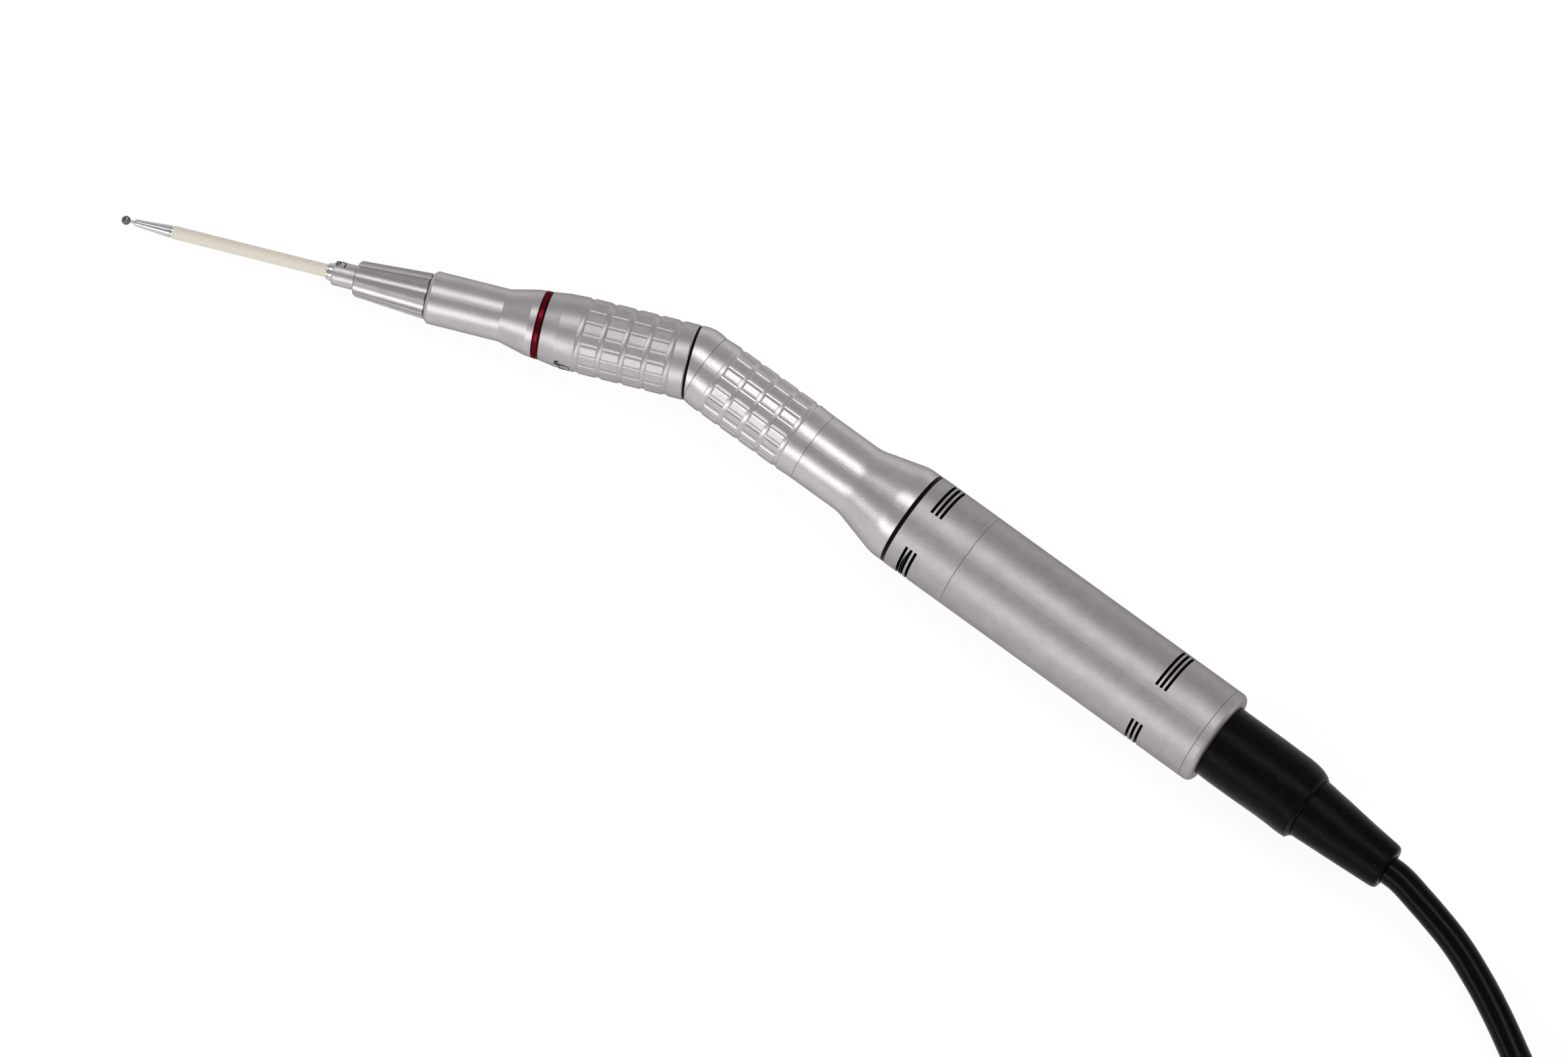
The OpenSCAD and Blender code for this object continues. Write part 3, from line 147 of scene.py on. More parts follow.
def soft_box(name, angle, width, brightness):
    towards = to_camera * math.cos(angle) + inner * math.sin(angle)
    lamp_data = bpy.data.lights.new(name, "AREA")
    lamp_data.shape = "RECTANGLE"
    lamp_data.size = box_length
    lamp_data.size_y = width
    lamp_data.energy = brightness * math.pi * box_length * width
    lamp = bpy.data.objects.new(name, lamp_data)
    bpy.context.scene.collection.objects.link(lamp)
    side = towards.cross(along).normalized()
    lamp.matrix_world = (
        Matrix.Translation(tool_middle + towards * box_reach)
        @ Matrix((along, side, towards)).transposed().to_4x4()
    )
    lamp.visible_camera = False


soft_box("box_above", math.radians(-28), width=0.34, brightness=2.6)
soft_box("box_inner", math.radians(52), width=0.38, brightness=2.2)

# ---------------------------------------------------------------- cord
# Round cable of five leads in an extruded jacket, black and glossy. It is
# moulded into the strain relief, drops to the floor, and its spare length is
# folded into a hank of two layers with the plug on top.


def rubber(name, colour, roughness, grain_scale, grain_depth, dust, sheen, dents=0.0):
    """Rubber with a fine grain and pale specks of dust, and with shallow dents that deep."""
    material, nodes, links, shader = new_material(name)
    shader.inputs["Specular IOR Level"].default_value = sheen
    place = nodes.new("ShaderNodeTexCoord")
    mottle = nodes.new("ShaderNodeTexNoise")
    mottle.inputs["Scale"].default_value = 180
    mottle.inputs["Detail"].default_value = 6
    links.new(place.outputs["Object"], mottle.inputs["Vector"])
    gloss = nodes.new("ShaderNodeMapRange")
    gloss.inputs["To Min"].default_value = roughness - 0.06
    gloss.inputs["To Max"].default_value = roughness + 0.08
    links.new(mottle.outputs["Fac"], gloss.inputs["Value"])
    links.new(gloss.outputs["Result"], shader.inputs["Roughness"])
    specks = nodes.new("ShaderNodeTexVoronoi")
    specks.inputs["Scale"].default_value = 900
    links.new(place.outputs["Object"], specks.inputs["Vector"])
    tone = nodes.new("ShaderNodeValToRGB")
    tone.color_ramp.elements[0].position = 0.07
    tone.color_ramp.elements[0].color = (*[c + dust for c in colour], 1)
    tone.color_ramp.elements[1].position = 0.14
    tone.color_ramp.elements[1].color = (*colour, 1)
    links.new(specks.outputs["Distance"], tone.inputs["Fac"])
    links.new(tone.outputs["Color"], shader.inputs["Base Color"])
    grain = nodes.new("ShaderNodeTexNoise")
    grain.inputs["Scale"].default_value = grain_scale
    grain.inputs["Detail"].default_value = 3
    links.new(place.outputs["Object"], grain.inputs["Vector"])
    bump = nodes.new("ShaderNodeBump")
    bump.inputs["Strength"].default_value = 0.4
    bump.inputs["Distance"].default_value = grain_depth
    links.new(grain.outputs["Fac"], bump.inputs["Height"])
    links.new(bump.outputs["Normal"], shader.inputs["Normal"])
    if dents:
        waves = nodes.new("ShaderNodeTexNoise")
        waves.inputs["Scale"].default_value = 150
        waves.inputs["Detail"].default_value = 1
        links.new(place.outputs["Object"], waves.inputs["Vector"])
        soft = nodes.new("ShaderNodeBump")
        soft.inputs["Strength"].default_value = 0.5
        soft.inputs["Distance"].default_value = dents
        links.new(waves.outputs["Fac"], soft.inputs["Height"])
        links.new(soft.outputs["Normal"], bump.inputs["Normal"])
    return material


cord_radius, floor_gap = 0.0032, 0.001
near_fold = Vector((-0.276, 0.010, 0))
straight_run, inner_fold, cord_pitch, layer_turns, climb_dip = 0.096, 0.020, 0.0069, 2, 0.0004
run_steps, fold_steps = 4, 8
half_loop = run_steps + fold_steps
loop_steps = 2 * half_loop
climb_turns = run_steps / loop_steps
outer_fold = inner_fold + cord_pitch * layer_turns
hank_low = cord_radius + floor_gap
last_turn = 2 * layer_turns + climb_turns


def fold_radius(turns):
    past = turns - layer_turns
    if past < 0:
        return outer_fold - cord_pitch * turns
    if past < climb_turns:
        return inner_fold - climb_dip * math.sin(math.pi * past / climb_turns)
    return inner_fold + cord_pitch * (past - climb_turns)


def hank_place(turns, radius, height):
    step = (turns - math.floor(turns)) * loop_steps
    if step <= run_steps:
        return near_fold + Vector((-straight_run * step / run_steps, radius, height))
    if half_loop < step <= half_loop + run_steps:
        back = straight_run * ((step - half_loop) / run_steps - 1)
        return near_fold + Vector((back, -radius, height))
    if step <= half_loop:
        angle, middle = math.pi / 2 + math.pi * (step - run_steps) / fold_steps, -straight_run
    else:
        angle, middle = math.pi * (step - half_loop - run_steps) / fold_steps - math.pi / 2, 0
    return near_fold + Vector((radius * math.cos(angle) + middle, radius * math.sin(angle), height))


def hank_point(step):
    turns = step / loop_steps
    climb = min(max((turns - layer_turns) / climb_turns, 0), 1)
    height = hank_low + cord_pitch * (1 - math.cos(math.pi * climb)) / 2
    return hank_place(turns, fold_radius(turns), height)


def over_point(step):
    turns = last_turn + step / loop_steps
    roll_over = math.pi / 3 * (1 - math.cos(math.pi * min(step / fold_steps, 1)))
    radius = fold_radius(turns - 1) + cord_pitch * math.cos(roll_over)
    return hank_place(turns, radius, hank_low + cord_pitch * (1 + math.sin(roll_over)))


relief_length, relief_turn, relief_shift = 0.0217, math.radians(1.7), 0.0006
boot_end, relief_radius = 0.1607, 0.0070
relief_start = boot_end + relief_radius * math.sin(relief_turn)
side_step = relief_shift + relief_length * math.sin(relief_turn)
exit_behind = relief_start + relief_length * math.cos(relief_turn)
cord_exit = -ahead * exit_behind + inner * side_step
cord_exit.z += axis_height
exit_way = -ahead * math.cos(relief_turn) + inner * math.sin(relief_turn)
run = [
    (-191.8, 2.5, 10.35), (-196, 3.35, 9.6), (-203, 4.95, 7.7), (-210, 7.4, 5.7),
    (-217, 10.5, 4.3), (-226, 15.4, 3.5), (-235, 20.9, 3.4), (-243.8, 27.6, 3.7),
]
plug_ahead, plug_radius, plug_gap = 0.0225, 0.007, 0.0003
plug_bed = plug_radius + cord_radius + plug_gap
plug_step = fold_steps + run_steps * (1 - plug_ahead / straight_run)
plug_start = Vector((
    near_fold.x - plug_ahead, over_point(plug_step).y, hank_low + cord_pitch + plug_bed,
))
tail_rise = plug_start.z - over_point(fold_steps).z
tail_length = straight_run - plug_ahead
route = [cord_exit, cord_exit + exit_way * 0.003]
route += [Vector(p) / 1000 for p in run]
route += [hank_point(i) for i in range(-2, round(last_turn * loop_steps) + 1)]
route += [over_point(i) for i in range(1, fold_steps + 1)]
for share in (0.2, 0.4, 0.6, 0.8):
    along_run = share * tail_length
    route.append(Vector((
        near_fold.x - straight_run + along_run,
        over_point(fold_steps + run_steps * along_run / straight_run).y,
        plug_start.z - tail_rise * (1 + math.cos(math.pi * share)) / 2,
    )))
route.append(plug_start)
corner = Vector((bend.x, bend.y, 0))
route = [p + corner for p in route]


def round_line(name, radius, roundness):
    data = bpy.data.curves.new(name, "CURVE")
    data.dimensions = "3D"
    data.bevel_depth = radius
    data.bevel_resolution = roundness
    data.use_fill_caps = True
    piece = bpy.data.objects.new(name, data)
    bpy.context.scene.collection.objects.link(piece)
    return piece


cord = round_line("cord", cord_radius, 6)
cord.data.resolution_u = 5
line = cord.data.splines.new("BEZIER")
line.bezier_points.add(len(route) - 1)
for point, where in zip(line.bezier_points, route):
    point.co = where
    point.handle_left_type = point.handle_right_type = "AUTO"
jacket = rubber("cord_jacket", (0.0004, 0.0004, 0.0007), 0.19, 2500, 0.000004, 0.002, 0.09)
cord.data.materials.append(jacket)
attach(cord, "motor")
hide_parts("cord_run", "cord_coil", "cord_tail")

# ---------------------------------------------------------------- strap
# Woven nylon strap, sewn to a loop and closed tightly round the whole bundle
# of one run of the hank.

strap_gap, strap_thick, strap_wide = 0.00025, 0.0007, 0.011
strap_in = inner_fold - climb_dip - cord_radius - strap_gap - strap_thick
strap_out = outer_fold + cord_radius + strap_gap + strap_thick
strap_low = floor_gap - strap_gap - strap_thick
strap_high = hank_low + cord_pitch + cord_radius + strap_gap + strap_thick


def woven(name, colour):
    material, nodes, links, shader = new_material(name)
    shader.inputs["Roughness"].default_value = 0.85
    shader.inputs["Sheen Weight"].default_value = 0.3
    place = nodes.new("ShaderNodeTexCoord")
    heights = []
    for axis in ("X", "Z"):
        wave = nodes.new("ShaderNodeTexWave")
        wave.bands_direction = axis
        wave.inputs["Scale"].default_value = 420
        wave.inputs["Distortion"].default_value = 1.5
        links.new(place.outputs["Object"], wave.inputs["Vector"])
        heights.append(wave)
    join = nodes.new("ShaderNodeMath")
    join.operation = "MULTIPLY"
    links.new(heights[0].outputs["Fac"], join.inputs[0])
    links.new(heights[1].outputs["Fac"], join.inputs[1])
    tone = nodes.new("ShaderNodeValToRGB")
    tone.color_ramp.elements[0].color = (*[c * 0.5 for c in colour], 1)
    tone.color_ramp.elements[1].color = (*[c * 1.6 for c in colour], 1)
    links.new(join.outputs[0], tone.inputs["Fac"])
    links.new(tone.outputs["Color"], shader.inputs["Base Color"])
    bump = nodes.new("ShaderNodeBump")
    bump.inputs["Strength"].default_value = 0.6
    bump.inputs["Distance"].default_value = 0.0002
    links.new(join.outputs[0], bump.inputs["Height"])
    links.new(bump.outputs["Normal"], shader.inputs["Normal"])
    return material


def select_only(piece, kind, wanted):
    bpy.ops.mesh.select_mode(type=kind)
    bpy.ops.mesh.select_all(action="DESELECT")
    mesh = bmesh.from_edit_mesh(piece.data)
    for part in mesh.faces if kind == "FACE" else mesh.edges:
        if wanted(part):
            part.select_set(True)
    bmesh.update_edit_mesh(piece.data)


def thicken(piece, thickness):
    wall = piece.modifiers.new("thickness", "SOLIDIFY")
    wall.thickness = thickness
    wall.offset = -1
    bpy.ops.object.modifier_apply(modifier="thickness")


def finish_piece():
    bpy.ops.object.mode_set(mode="OBJECT")
    bpy.ops.object.transform_apply(location=True, rotation=True, scale=True)
    bpy.ops.object.shade_smooth_by_angle(angle=math.radians(35))


bpy.ops.object.select_all(action="DESELECT")
bpy.ops.mesh.primitive_cube_add(size=1)
strap = bpy.context.object
strap.name = "strap"
strap.scale = (strap_out - strap_in, strap_wide, strap_high - strap_low)
strap.location = ((strap_in + strap_out) / 2, 0, (strap_low + strap_high) / 2)
bpy.ops.object.transform_apply(location=True, rotation=True, scale=True)
bpy.ops.object.mode_set(mode="EDIT")
select_only(strap, "FACE", lambda face: abs(face.normal.y) > 0.9)
bpy.ops.mesh.delete(type="FACE")
select_only(strap, "EDGE", lambda edge: abs(edge.verts[0].co.y - edge.verts[1].co.y) > 0.001)
bpy.ops.mesh.bevel(offset=0.0026, segments=6, affect="EDGES")
bpy.ops.object.mode_set(mode="OBJECT")
thicken(strap, strap_thick)
soften = strap.modifiers.new("edges", "BEVEL")
soften.width = 0.00018
soften.segments = 2
soften.limit_method = "ANGLE"
soften.angle_limit = math.radians(60)
bpy.ops.object.modifier_apply(modifier="edges")
strap.rotation_euler = (0, 0, math.pi / 2)
strap.location = corner + near_fold - Vector((straight_run / 2, 0, 0))
finish_piece()
strap.data.materials.append(woven("strap_webbing", (0.055, 0.055, 0.06)))
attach(strap, "motor")
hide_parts("cord_tie")

# ---------------------------------------------------------------- plug
# Round push-pull plug: a shell and release sleeve of turned, matte brass
# plated in grey, a moulded boot clamped over the cord, and gilt contacts
# pressed into a black insert.

nose_way = Vector((0.930418, 0.357838, -0.079214))


def metal(name, colour, roughness, grain_scale, grain_depth, edge, mottle=0.04, bore=0.0, nose=0.0):
    """Metal with a fine surface grain, slight mottling and edges softened by edge.

    Given bore, it is painted black as shade within that radius of the motor's axis; given nose, it
    is painted dark grey as shade nearer the bend than nose."""
    rim = 0.40
    material, nodes, links, shader = new_material(name)
    shader.inputs["Metallic"].default_value = 1.0
    shader.inputs["Specular Tint"].default_value = (rim, rim, rim, 1)
    place = nodes.new("ShaderNodeTexCoord")
    patches = nodes.new("ShaderNodeTexNoise")
    patches.inputs["Scale"].default_value = 240
    patches.inputs["Detail"].default_value = 7
    patches.inputs["Roughness"].default_value = 0.78
    links.new(place.outputs["Object"], patches.inputs["Vector"])
    grain = nodes.new("ShaderNodeTexNoise")
    grain.inputs["Scale"].default_value = grain_scale
    grain.inputs["Detail"].default_value = 3
    grain.inputs["Roughness"].default_value = 0.6
    links.new(place.outputs["Object"], grain.inputs["Vector"])
    tone = nodes.new("ShaderNodeValToRGB")
    tone.color_ramp.elements[0].position = 0.3
    tone.color_ramp.elements[0].color = (*[c * (1 - mottle) for c in colour], 1)
    tone.color_ramp.elements[1].position = 0.7
    tone.color_ramp.elements[1].color = (*[min(1, c * (1 + mottle)) for c in colour], 1)
    links.new(patches.outputs["Fac"], tone.inputs["Fac"])
    skin = tone.outputs["Color"]
    # Painted shade: black in the motor's bore, dark grey on the hub's spigot in its gap.
    if bore or nose:
        measure = nodes.new("ShaderNodeVectorMath")
        if bore:
            measure.operation = "DISTANCE"
            measure.inputs[1].default_value = (0, bend.y, bend.z)
            flat = nodes.new("ShaderNodeVectorMath")
            flat.operation = "MULTIPLY"
            flat.inputs[1].default_value = (0, 1, 1)
            links.new(place.outputs["Object"], flat.inputs[0])
            links.new(flat.outputs[0], measure.inputs[0])
        else:
            measure.operation = "DOT_PRODUCT"
            measure.inputs[1].default_value = nose_way
            links.new(place.outputs["Object"], measure.inputs[0])
        deep = nodes.new("ShaderNodeMath")
        deep.operation = "LESS_THAN"
        deep.inputs[1].default_value = bore or bend.dot(nose_way) + nose
        links.new(measure.outputs["Value"], deep.inputs[0])
        painted_shade = nodes.new("ShaderNodeMix")
        painted_shade.data_type = "RGBA"
        black, gap_shade = (0.006, 0.006, 0.006, 1), (0.06, 0.06, 0.065, 1)
        painted_shade.inputs["B"].default_value = black if bore else gap_shade
        links.new(deep.outputs[0], painted_shade.inputs["Factor"])
        links.new(skin, painted_shade.inputs["A"])
        skin = painted_shade.outputs["Result"]
    links.new(skin, shader.inputs["Base Color"])
    gloss = nodes.new("ShaderNodeMapRange")
    gloss.inputs["To Min"].default_value = roughness - 0.05
    gloss.inputs["To Max"].default_value = roughness + 0.05
    links.new(grain.outputs["Fac"], gloss.inputs["Value"])
    links.new(gloss.outputs["Result"], shader.inputs["Roughness"])
    bump = nodes.new("ShaderNodeBump")
    bump.inputs["Strength"].default_value = 0.5
    bump.inputs["Distance"].default_value = grain_depth
    links.new(grain.outputs["Fac"], bump.inputs["Height"])
    if edge:
        rounded = nodes.new("ShaderNodeBevel")
        rounded.samples = 4
        rounded.inputs["Radius"].default_value = edge
        links.new(rounded.outputs["Normal"], bump.inputs["Normal"])
    links.new(bump.outputs["Normal"], shader.inputs["Normal"])
    return material


def dress(material, *names):
    for name in names:
        slots = node[name].data.materials
        if not slots:
            slots.append(material)
        for i in range(len(slots)):
            slots[i] = material


moulded = rubber(
    "moulded_rubber", (0.0014, 0.0013, 0.0020), 0.33, 1800, 0.00002, 0.02, 0.06, dents=0.0006,
)
plug_metal = metal("plug_metal", (0.46, 0.46, 0.47), 0.34, 6000, 0.00001, 0.0001)
dress(moulded, "plug_boot")
dress(plug_metal, "plug_shell", "plug_sleeve")
dress(metal("gilt", (0.80, 0.62, 0.28), 0.25, 3000, 0.000005, 0), "plug_pins")


def plastic(name, colour, roughness, grain_scale=2600, grain_depth=0.00001, fleck=0.1, sheen=0.5):
    """Plastic or ink with a fine grain, flecked darker by the share fleck."""
    material, nodes, links, shader = new_material(name)
    shader.inputs["Specular IOR Level"].default_value = sheen
    place = nodes.new("ShaderNodeTexCoord")
    grain = nodes.new("ShaderNodeTexNoise")
    grain.inputs["Scale"].default_value = grain_scale
    grain.inputs["Detail"].default_value = 3
    links.new(place.outputs["Object"], grain.inputs["Vector"])
    tone = nodes.new("ShaderNodeValToRGB")
    tone.color_ramp.elements[0].position = 0.35
    tone.color_ramp.elements[0].color = (*[c * (1 - fleck) for c in colour], 1)
    tone.color_ramp.elements[1].position = 0.65
    tone.color_ramp.elements[1].color = (*colour, 1)
    links.new(grain.outputs["Fac"], tone.inputs["Fac"])
    links.new(tone.outputs["Color"], shader.inputs["Base Color"])
    shader.inputs["Roughness"].default_value = roughness
    bump = nodes.new("ShaderNodeBump")
    bump.inputs["Strength"].default_value = 0.3
    bump.inputs["Distance"].default_value = grain_depth
    links.new(grain.outputs["Fac"], bump.inputs["Height"])
    links.new(bump.outputs["Normal"], shader.inputs["Normal"])
    return material


dress(plastic("insulator", (0.02, 0.02, 0.02), 0.5), "plug_insert")

# ---------------------------------------------------------------- boot
# Black rubber boot and tapered strain relief, moulded over the end of the
# motor and the cord. They sag a little to one side, and a ragged line of
# flash runs round their joint.


def ring_place(behind, aside):
    """A place on the motor's axis, in mm behind the bend and to the inner side."""
    return bend - ahead * behind / 1000 + inner * aside / 1000


def drawn_out(name, rings, sides=96):
    """A round piece behind the motor. Each ring is its place behind and aside, and its radius."""
    bpy.ops.object.select_all(action="DESELECT")
    bpy.ops.mesh.primitive_circle_add(
        vertices=sides, radius=rings[0][2] / 1000, fill_type="NGON",
        location=ring_place(*rings[0][:2]), rotation=(0, math.pi / 2, 0),
    )
    piece = bpy.context.object
    piece.name = name
    bpy.ops.object.transform_apply(location=True, rotation=True, scale=True)
    bpy.ops.object.mode_set(mode="EDIT")
    bpy.ops.mesh.select_mode(type="FACE")
    bpy.ops.mesh.select_all(action="SELECT")
    for last, ring in zip(rings, rings[1:]):
        step = ring_place(*ring[:2]) - ring_place(*last[:2])
        bpy.ops.mesh.extrude_region_move(TRANSFORM_OT_translate={"value": step})
        size = ring[2] / last[2]
        bpy.ops.transform.resize(value=(1, size, size), center_override=ring_place(*ring[:2]))
    bpy.ops.mesh.select_all(action="SELECT")
    bpy.ops.mesh.normals_make_consistent(inside=False)
    finish_piece()
    return piece


boot = drawn_out("boot", [
    (134.8, 0, 8.38), (137.3, 0, 8.41), (138.2, 0.05, 8.42), (139, 0.09, 8.43), (141, 0.1, 8.44),
    (143, 0.1, 8.45), (145, 0.1, 8.45), (147, 0.09, 8.44), (149, 0.08, 8.41), (151, 0.08, 8.38),
    (153, 0.08, 8.37), (155.5, 0.12, 8.38), (156.4, 0.16, 8.38), (157.2, 0.22, 8.36),
    (158, 0.29, 8.32), (158.7, 0.36, 8.26), (159.3, 0.44, 8.18), (159.8, 0.52, 8.08),
    (160.2, 0.59, 7.98), (160.45, 0.62, 7.92), (160.6, 0.56, 7.70), (160.8, 0.46, 7.40),
    (160.95, 0.42, 7.20), (161.02, 0.42, 7.14), (161.08, 0.42, 7.20), (161.2, 0.43, 7.22),
    (161.32, 0.44, 7.16), (161.38, 0.45, 6.80), (161.38, 0.45, 3),
])
relief = drawn_out("relief", [
    (161, 0.45, 3), (161.05, 0.45, 6.70), (161.15, 0.45, 6.88), (161.4, 0.46, 6.92),
    (162.2, 0.47, 6.87), (163.2, 0.5, 6.80), (164.6, 0.55, 6.66), (166.2, 0.59, 6.54),
    (167.8, 0.63, 6.42), (170, 0.72, 6.23), (172.2, 0.80, 6.04), (174.5, 0.87, 5.84),
    (176.8, 0.93, 5.66), (178.5, 0.97, 5.53), (180, 1.0, 5.42), (181, 1.02, 5.34),
    (181.6, 1.03, 5.25), (182.05, 1.05, 5.08), (182.35, 1.08, 4.82), (182.5, 1.1, 4.5),
    (182.58, 1.15, 4), (182.6, 1.2, 3.6), (182.5, 1.22, 3.4), (182.2, 1.22, 3.28),
    (181.2, 1.2, 3.24), (181.2, 1.2, 1),
])
for piece, stands_for in ((boot, "boot_body"), (relief, "cord_relief")):
    piece.data.materials.append(moulded)
    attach(piece, "motor")
    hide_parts(stands_for)

flash_steps, flash_radius = 90, 0.00007
joint_behind, joint_aside, joint_radius = 160.72, 0.5, 7.52
flash = round_line("mould_flash", flash_radius, 1)
ragged = flash.data.splines.new("POLY")
ragged.use_cyclic_u = True
ragged.points.add(flash_steps - 1)
for i, point in enumerate(ragged.points):
    angle = math.tau * i / flash_steps
    behind = joint_behind + 0.10 * math.sin(7 * angle) + 0.09 * math.sin(23 * angle + 1)
    reach = (joint_radius + 0.05 * math.sin(31 * angle)) / 1000
    outward = upper * math.cos(angle) + inner * math.sin(angle)
    point.co = (*(ring_place(behind, joint_aside) + outward * reach), 1)
torn = rubber("torn_rubber", (0.010, 0.010, 0.011), 0.6, 2600, 0.00002, 0.04, 0.3)
flash.data.materials.append(torn)
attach(flash, "motor")

# ---------------------------------------------------------------- motor shells
# Turned aluminium, bead-blasted and clear-anodised: a vented front ring, a
# long tube with vents near its rear end, and an end cap with a rounded lip,
# screwed together. Their bores are painted black as shade.

shell = (0.40, 0.375, 0.385), 0.48, 2600, 0.00006, 0.00006, 0.10
dress(metal("motor_shell", *shell, bore=0.0107), "vent_ring", "motor_tube")
dress(metal("motor_cap", *shell), "end_cap")

# ---------------------------------------------------------------- vent shade
# A thin black strip inside the shell behind each row of vents: painted shade
# that stands for the dark inside the motor and stops the light behind them.

# Painted shade: a black sheet where the motor's inside is dark, seen through the vents.
vent_shade = plastic("black_vent_shade", (0.001, 0.001, 0.001), 0.9, 5200, 0.0001, 0.5, 0.02)
vent_shade_radius, vent_shade_width, vent_shade_thick = 0.01003, 0.0042, 0.00012
for name, middle in (("front_vent_shade", 61.7), ("rear_vent_shade", 122.0)):
    bpy.ops.object.select_all(action="DESELECT")
    bpy.ops.mesh.primitive_cylinder_add(
        vertices=96, radius=vent_shade_radius, depth=vent_shade_width, end_fill_type="NOTHING",
        location=ring_place(middle, 0), rotation=(0, math.pi / 2, 0),
    )
    strip = bpy.context.object
    strip.name = name
    thicken(strip, vent_shade_thick)
    finish_piece()
    strip.data.materials.append(vent_shade)
    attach(strip, "motor")

# ---------------------------------------------------------------- motor inside
# Black anodised bearing plates and nose, laminated stator with enamelled
# copper coils, nickel-plated magnet on a ground shaft, and a small sensor
# board soldered to the cord's leads. Three screws clamp the plates.

black_metal = metal("black_anodised", (0.012, 0.012, 0.013), 0.45, 3500, 0.00001, 0)
dress(black_metal, "bearing_plates", "motor_nose")
dress(metal("lamination", (0.05, 0.05, 0.055), 0.5, 1500, 0.00002, 0), "stator_core")
dress(metal("copper_wire", (0.30, 0.10, 0.05), 0.4, 1500, 0.00005, 0), "windings")
dress(metal("plated_magnet", (0.45, 0.45, 0.46), 0.25, 1500, 0.00001, 0), "rotor_magnet")
dress(metal("black_screw", (0.02, 0.02, 0.02), 0.4, 3500, 0.00001, 0), "plate_screws")
dress(plastic("board", (0.004, 0.012, 0.008), 0.5), "sensor_board")
dress(plastic("wire_sleeve", (0.02, 0.004, 0.004), 0.5), "lead_wires")
inner_steel = metal("turned_steel", (0.44, 0.44, 0.45), 0.30, 3500, 0.00001, 0)
dress(inner_steel, "motor_shaft", "motor_bearings", "motor_bearing_bores", "snap_ring")

# ---------------------------------------------------------------- seals
# Black rubber rings, stretched into their grooves at the bend, in front of
# the motor and on its nose. The two thin black rings on both sides of the red
# ring are painted shade for the dark gaps at its edges.

seal = plastic("seal_black", (0.0008, 0.0008, 0.0008), 0.5, sheen=0.06)
# Painted shade: ratio_ring_edges stand for the shaded gaps beside the red ring.
dress(seal, "elbow_seal", "coupling_seal", "nose_seals", "ratio_ring_edges")

# ---------------------------------------------------------------- attachment
# Stainless steel, turned and bead-blasted to a bright satin: the barrel that
# takes the motor's nose, the two fluted grips, the bend, the front barrel
# and the bur's collar.

satin_grain = 2600, 0.00005, 0.00005, 0.09
dress(metal("satin_steel", (0.49, 0.465, 0.475), 0.37, *satin_grain), "front_barrel", "size_collar")
dress(metal("handled_satin_steel", (0.45, 0.425, 0.435), 0.42, *satin_grain), "lock_sleeve")
bright_satin = metal("bright_satin_steel", (0.52, 0.495, 0.505), 0.325, *satin_grain)
dress(bright_satin, "coupling_barrel", "rear_grip", "elbow_body")

# ---------------------------------------------------------------- attachment inside
# Ground steel shafts, bearings, spring and collet, with coated crown gears
# that mesh in the bend.

dress(
    inner_steel, "drive_shaft", "shaft_bearings", "shaft_bearing_bores", "spindle", "collet",
    "chuck_sleeve", "chuck_spring", "spindle_bearings", "spindle_bearing_bores", "release_ring",
    "front_housing",
)
dress(metal("gear_coat", (0.62, 0.52, 0.30), 0.32, 3500, 0.00001, 0), "drive_gear", "spindle_gear")

# ---------------------------------------------------------------- red ring
# Anodised aluminium ring, pressed on in front of the lock sleeve. Its red
# shows the gear ratio.

red_metal = metal("red_anodised", (0.16, 0.004, 0.010), 0.26, 5200, 0.000008, 0.00008, 0.06)
dress(red_metal, "ratio_ring")

# ---------------------------------------------------------------- hub
# Finger hub of the cutter, fluted and fine-ground steel, with a spigot that
# is pushed into the front barrel; the spigot is painted dark grey as the shade
# in the gap there. Bronze bushes inside carry the shank.

hub_seat = 0.05944
ground_grain = 5200, 0.00002, 0.00003, 0.10
# Painted shade: the hub is dark grey nearer the bend than hub_seat.
dress(metal("ground_steel", (0.46, 0.44, 0.455), 0.28, *ground_grain, nose=hub_seat), "nose_hub")
dress(metal("bronze", (0.62, 0.42, 0.20), 0.40, 3500, 0.00001, 0), "hub_bushings")
dress(inner_steel, "guard_core", "bur_shank")

# ---------------------------------------------------------------- guard and bur
# Ivory sleeve over the guard's steel tube, between a polished collar and a
# polished tip, with the dark carbide ball of the bur in front.

polished = metal("polished_steel", (0.60, 0.60, 0.61), 0.14, 3500, 0.000003, 0.00005)
dress(polished, "guard_collar", "guard_tip")
bur_middle = bend + nose_way * 0.12624
bur_radius, blades, blade_depth, blade_twist = 0.00099, 8, 0.14, 0.5
bpy.ops.object.select_all(action="DESELECT")
bpy.ops.mesh.primitive_uv_sphere_add(segments=96, ring_count=40, radius=bur_radius)
bur = bpy.context.object
bur.name = "bur_ball"
turn = Vector((0, 0, 1)).rotation_difference(nose_way).to_matrix()
for vertex in bur.data.vertices:
    round_it = math.atan2(vertex.co.y, vertex.co.x) / math.tau * blades
    tooth = (round_it + blade_twist * vertex.co.z / bur_radius) % 1
    reach = math.hypot(vertex.co.x, vertex.co.y) / bur_radius
    cut = blade_depth * math.sqrt(reach) * math.sin(math.pi * tooth ** 0.6) ** 0.8
    vertex.co = bur_middle + turn @ (vertex.co * (1 - cut))
finish_piece()
bur.data.materials.append(metal("carbide", (0.16, 0.15, 0.15), 0.22, 3500, 0.00001, 0))
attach(bur, "bur")
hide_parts("bur_head")
dress(plastic("ivory", (0.78, 0.73, 0.62), 0.65, 4200, 0.00006, 0.22, 0.3), "guard_sleeve")

# ---------------------------------------------------------------- marks
# Thin black lines, printed on the metal after blasting: the number of the
# bur's size on its collar, and an open padlock on the lock sleeve.

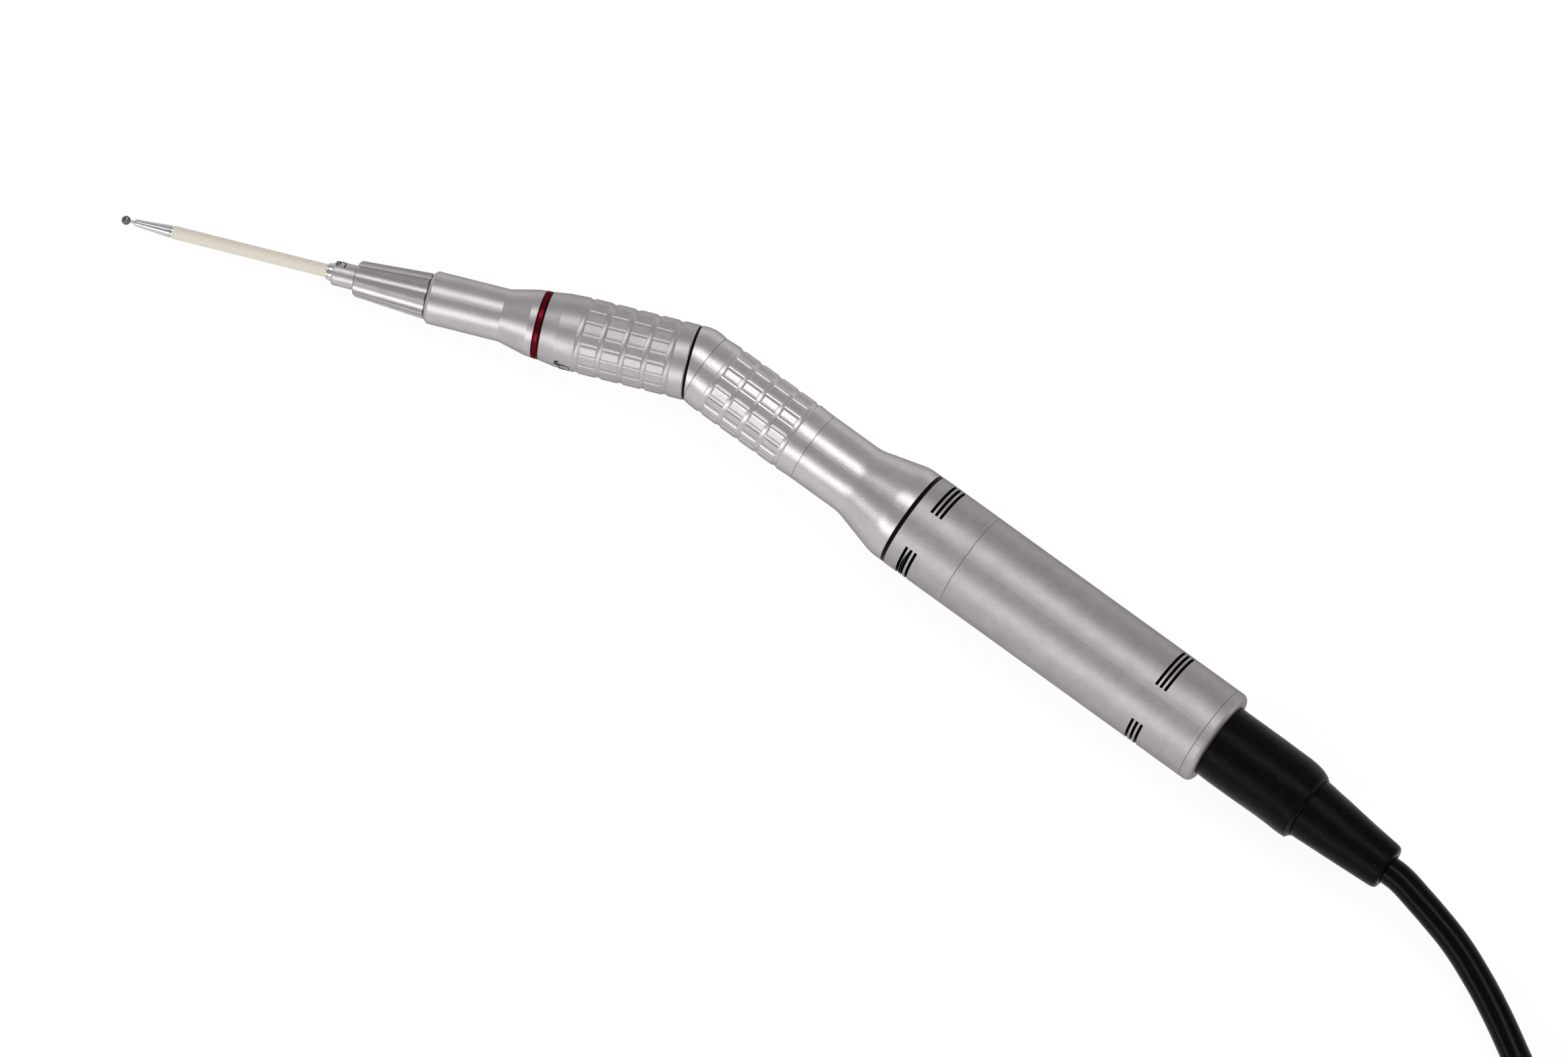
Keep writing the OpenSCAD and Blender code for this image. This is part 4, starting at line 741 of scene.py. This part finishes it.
face_up = (to_camera - nose_way * to_camera.dot(nose_way)).normalized()
face_in = face_up.cross(nose_way).normalized()
if face_in.dot(inner) < 0:
    face_in = -face_in


def printed(name, lines, width, start, angle, radius, body):
    """Lines round the nose. Each point is its steps in mm ahead of start and to the inner side."""
    sunk_share = 0.2
    mark = round_line(name, width / 2, 2)
    mark.data.resolution_u = 6
    for smooth, points in lines:
        spline = mark.data.splines.new("BEZIER")
        spline.bezier_points.add(len(points) - 1)
        for point, (step, round_it) in zip(spline.bezier_points, points):
            round_to = angle + round_it / radius
            outward = face_up * math.cos(round_to) + face_in * math.sin(round_to)
            reach = radius / 1000 - width * sunk_share
            point.co = bend + nose_way * (start + step) / 1000 + outward * reach
            point.handle_left_type = point.handle_right_type = "AUTO" if smooth else "VECTOR"
    bpy.ops.object.select_all(action="DESELECT")
    mark.select_set(True)
    bpy.context.view_layer.objects.active = mark
    bpy.ops.object.convert(target="MESH")
    mark = bpy.context.object
    mark.data.materials.clear()
    mark.data.materials.append(print_ink)
    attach(mark, body)


print_ink = plastic("print_ink", (0.004, 0.004, 0.004), 0.5, sheen=0.2)
printed("size_number", [(True, [
    (0.72, 0.80), (0.88, 0.30), (0.84, -0.40), (0.62, -0.80), (0.42, -0.62),
    (0.36, -0.05), (0.36, 0.25), (0.35, -0.10), (0.24, -0.62), (-0.10, -0.95),
    (-0.55, -0.90), (-0.85, -0.40), (-0.90, 0.30), (-0.72, 0.85),
])], 0.00034, 78.9, math.radians(-54), 2.65, "cutter")
printed("open_padlock", [
    (False, [
        (0, 0), (2.2, 0), (2.2, 0.5), (2.2, 1), (2.2, 1.5), (2.2, 2), (2.2, 2.5),
        (0, 2.5), (0, 2), (0, 1.5), (0, 1), (0, 0.5), (0, 0), (0.4, 0),
    ]),
    (True, [(2.2, 0.1), (2.9, -0.05), (3.2, -0.4), (3.05, -0.8), (2.7, -0.95), (2.3, -0.85)]),
], 0.00021, 26.15, math.radians(65), 8.13, "lock")

# ---------------------------------------------------------------- view
# Colours are shown through the standard view transform.

bpy.context.scene.view_settings.view_transform = "Standard"
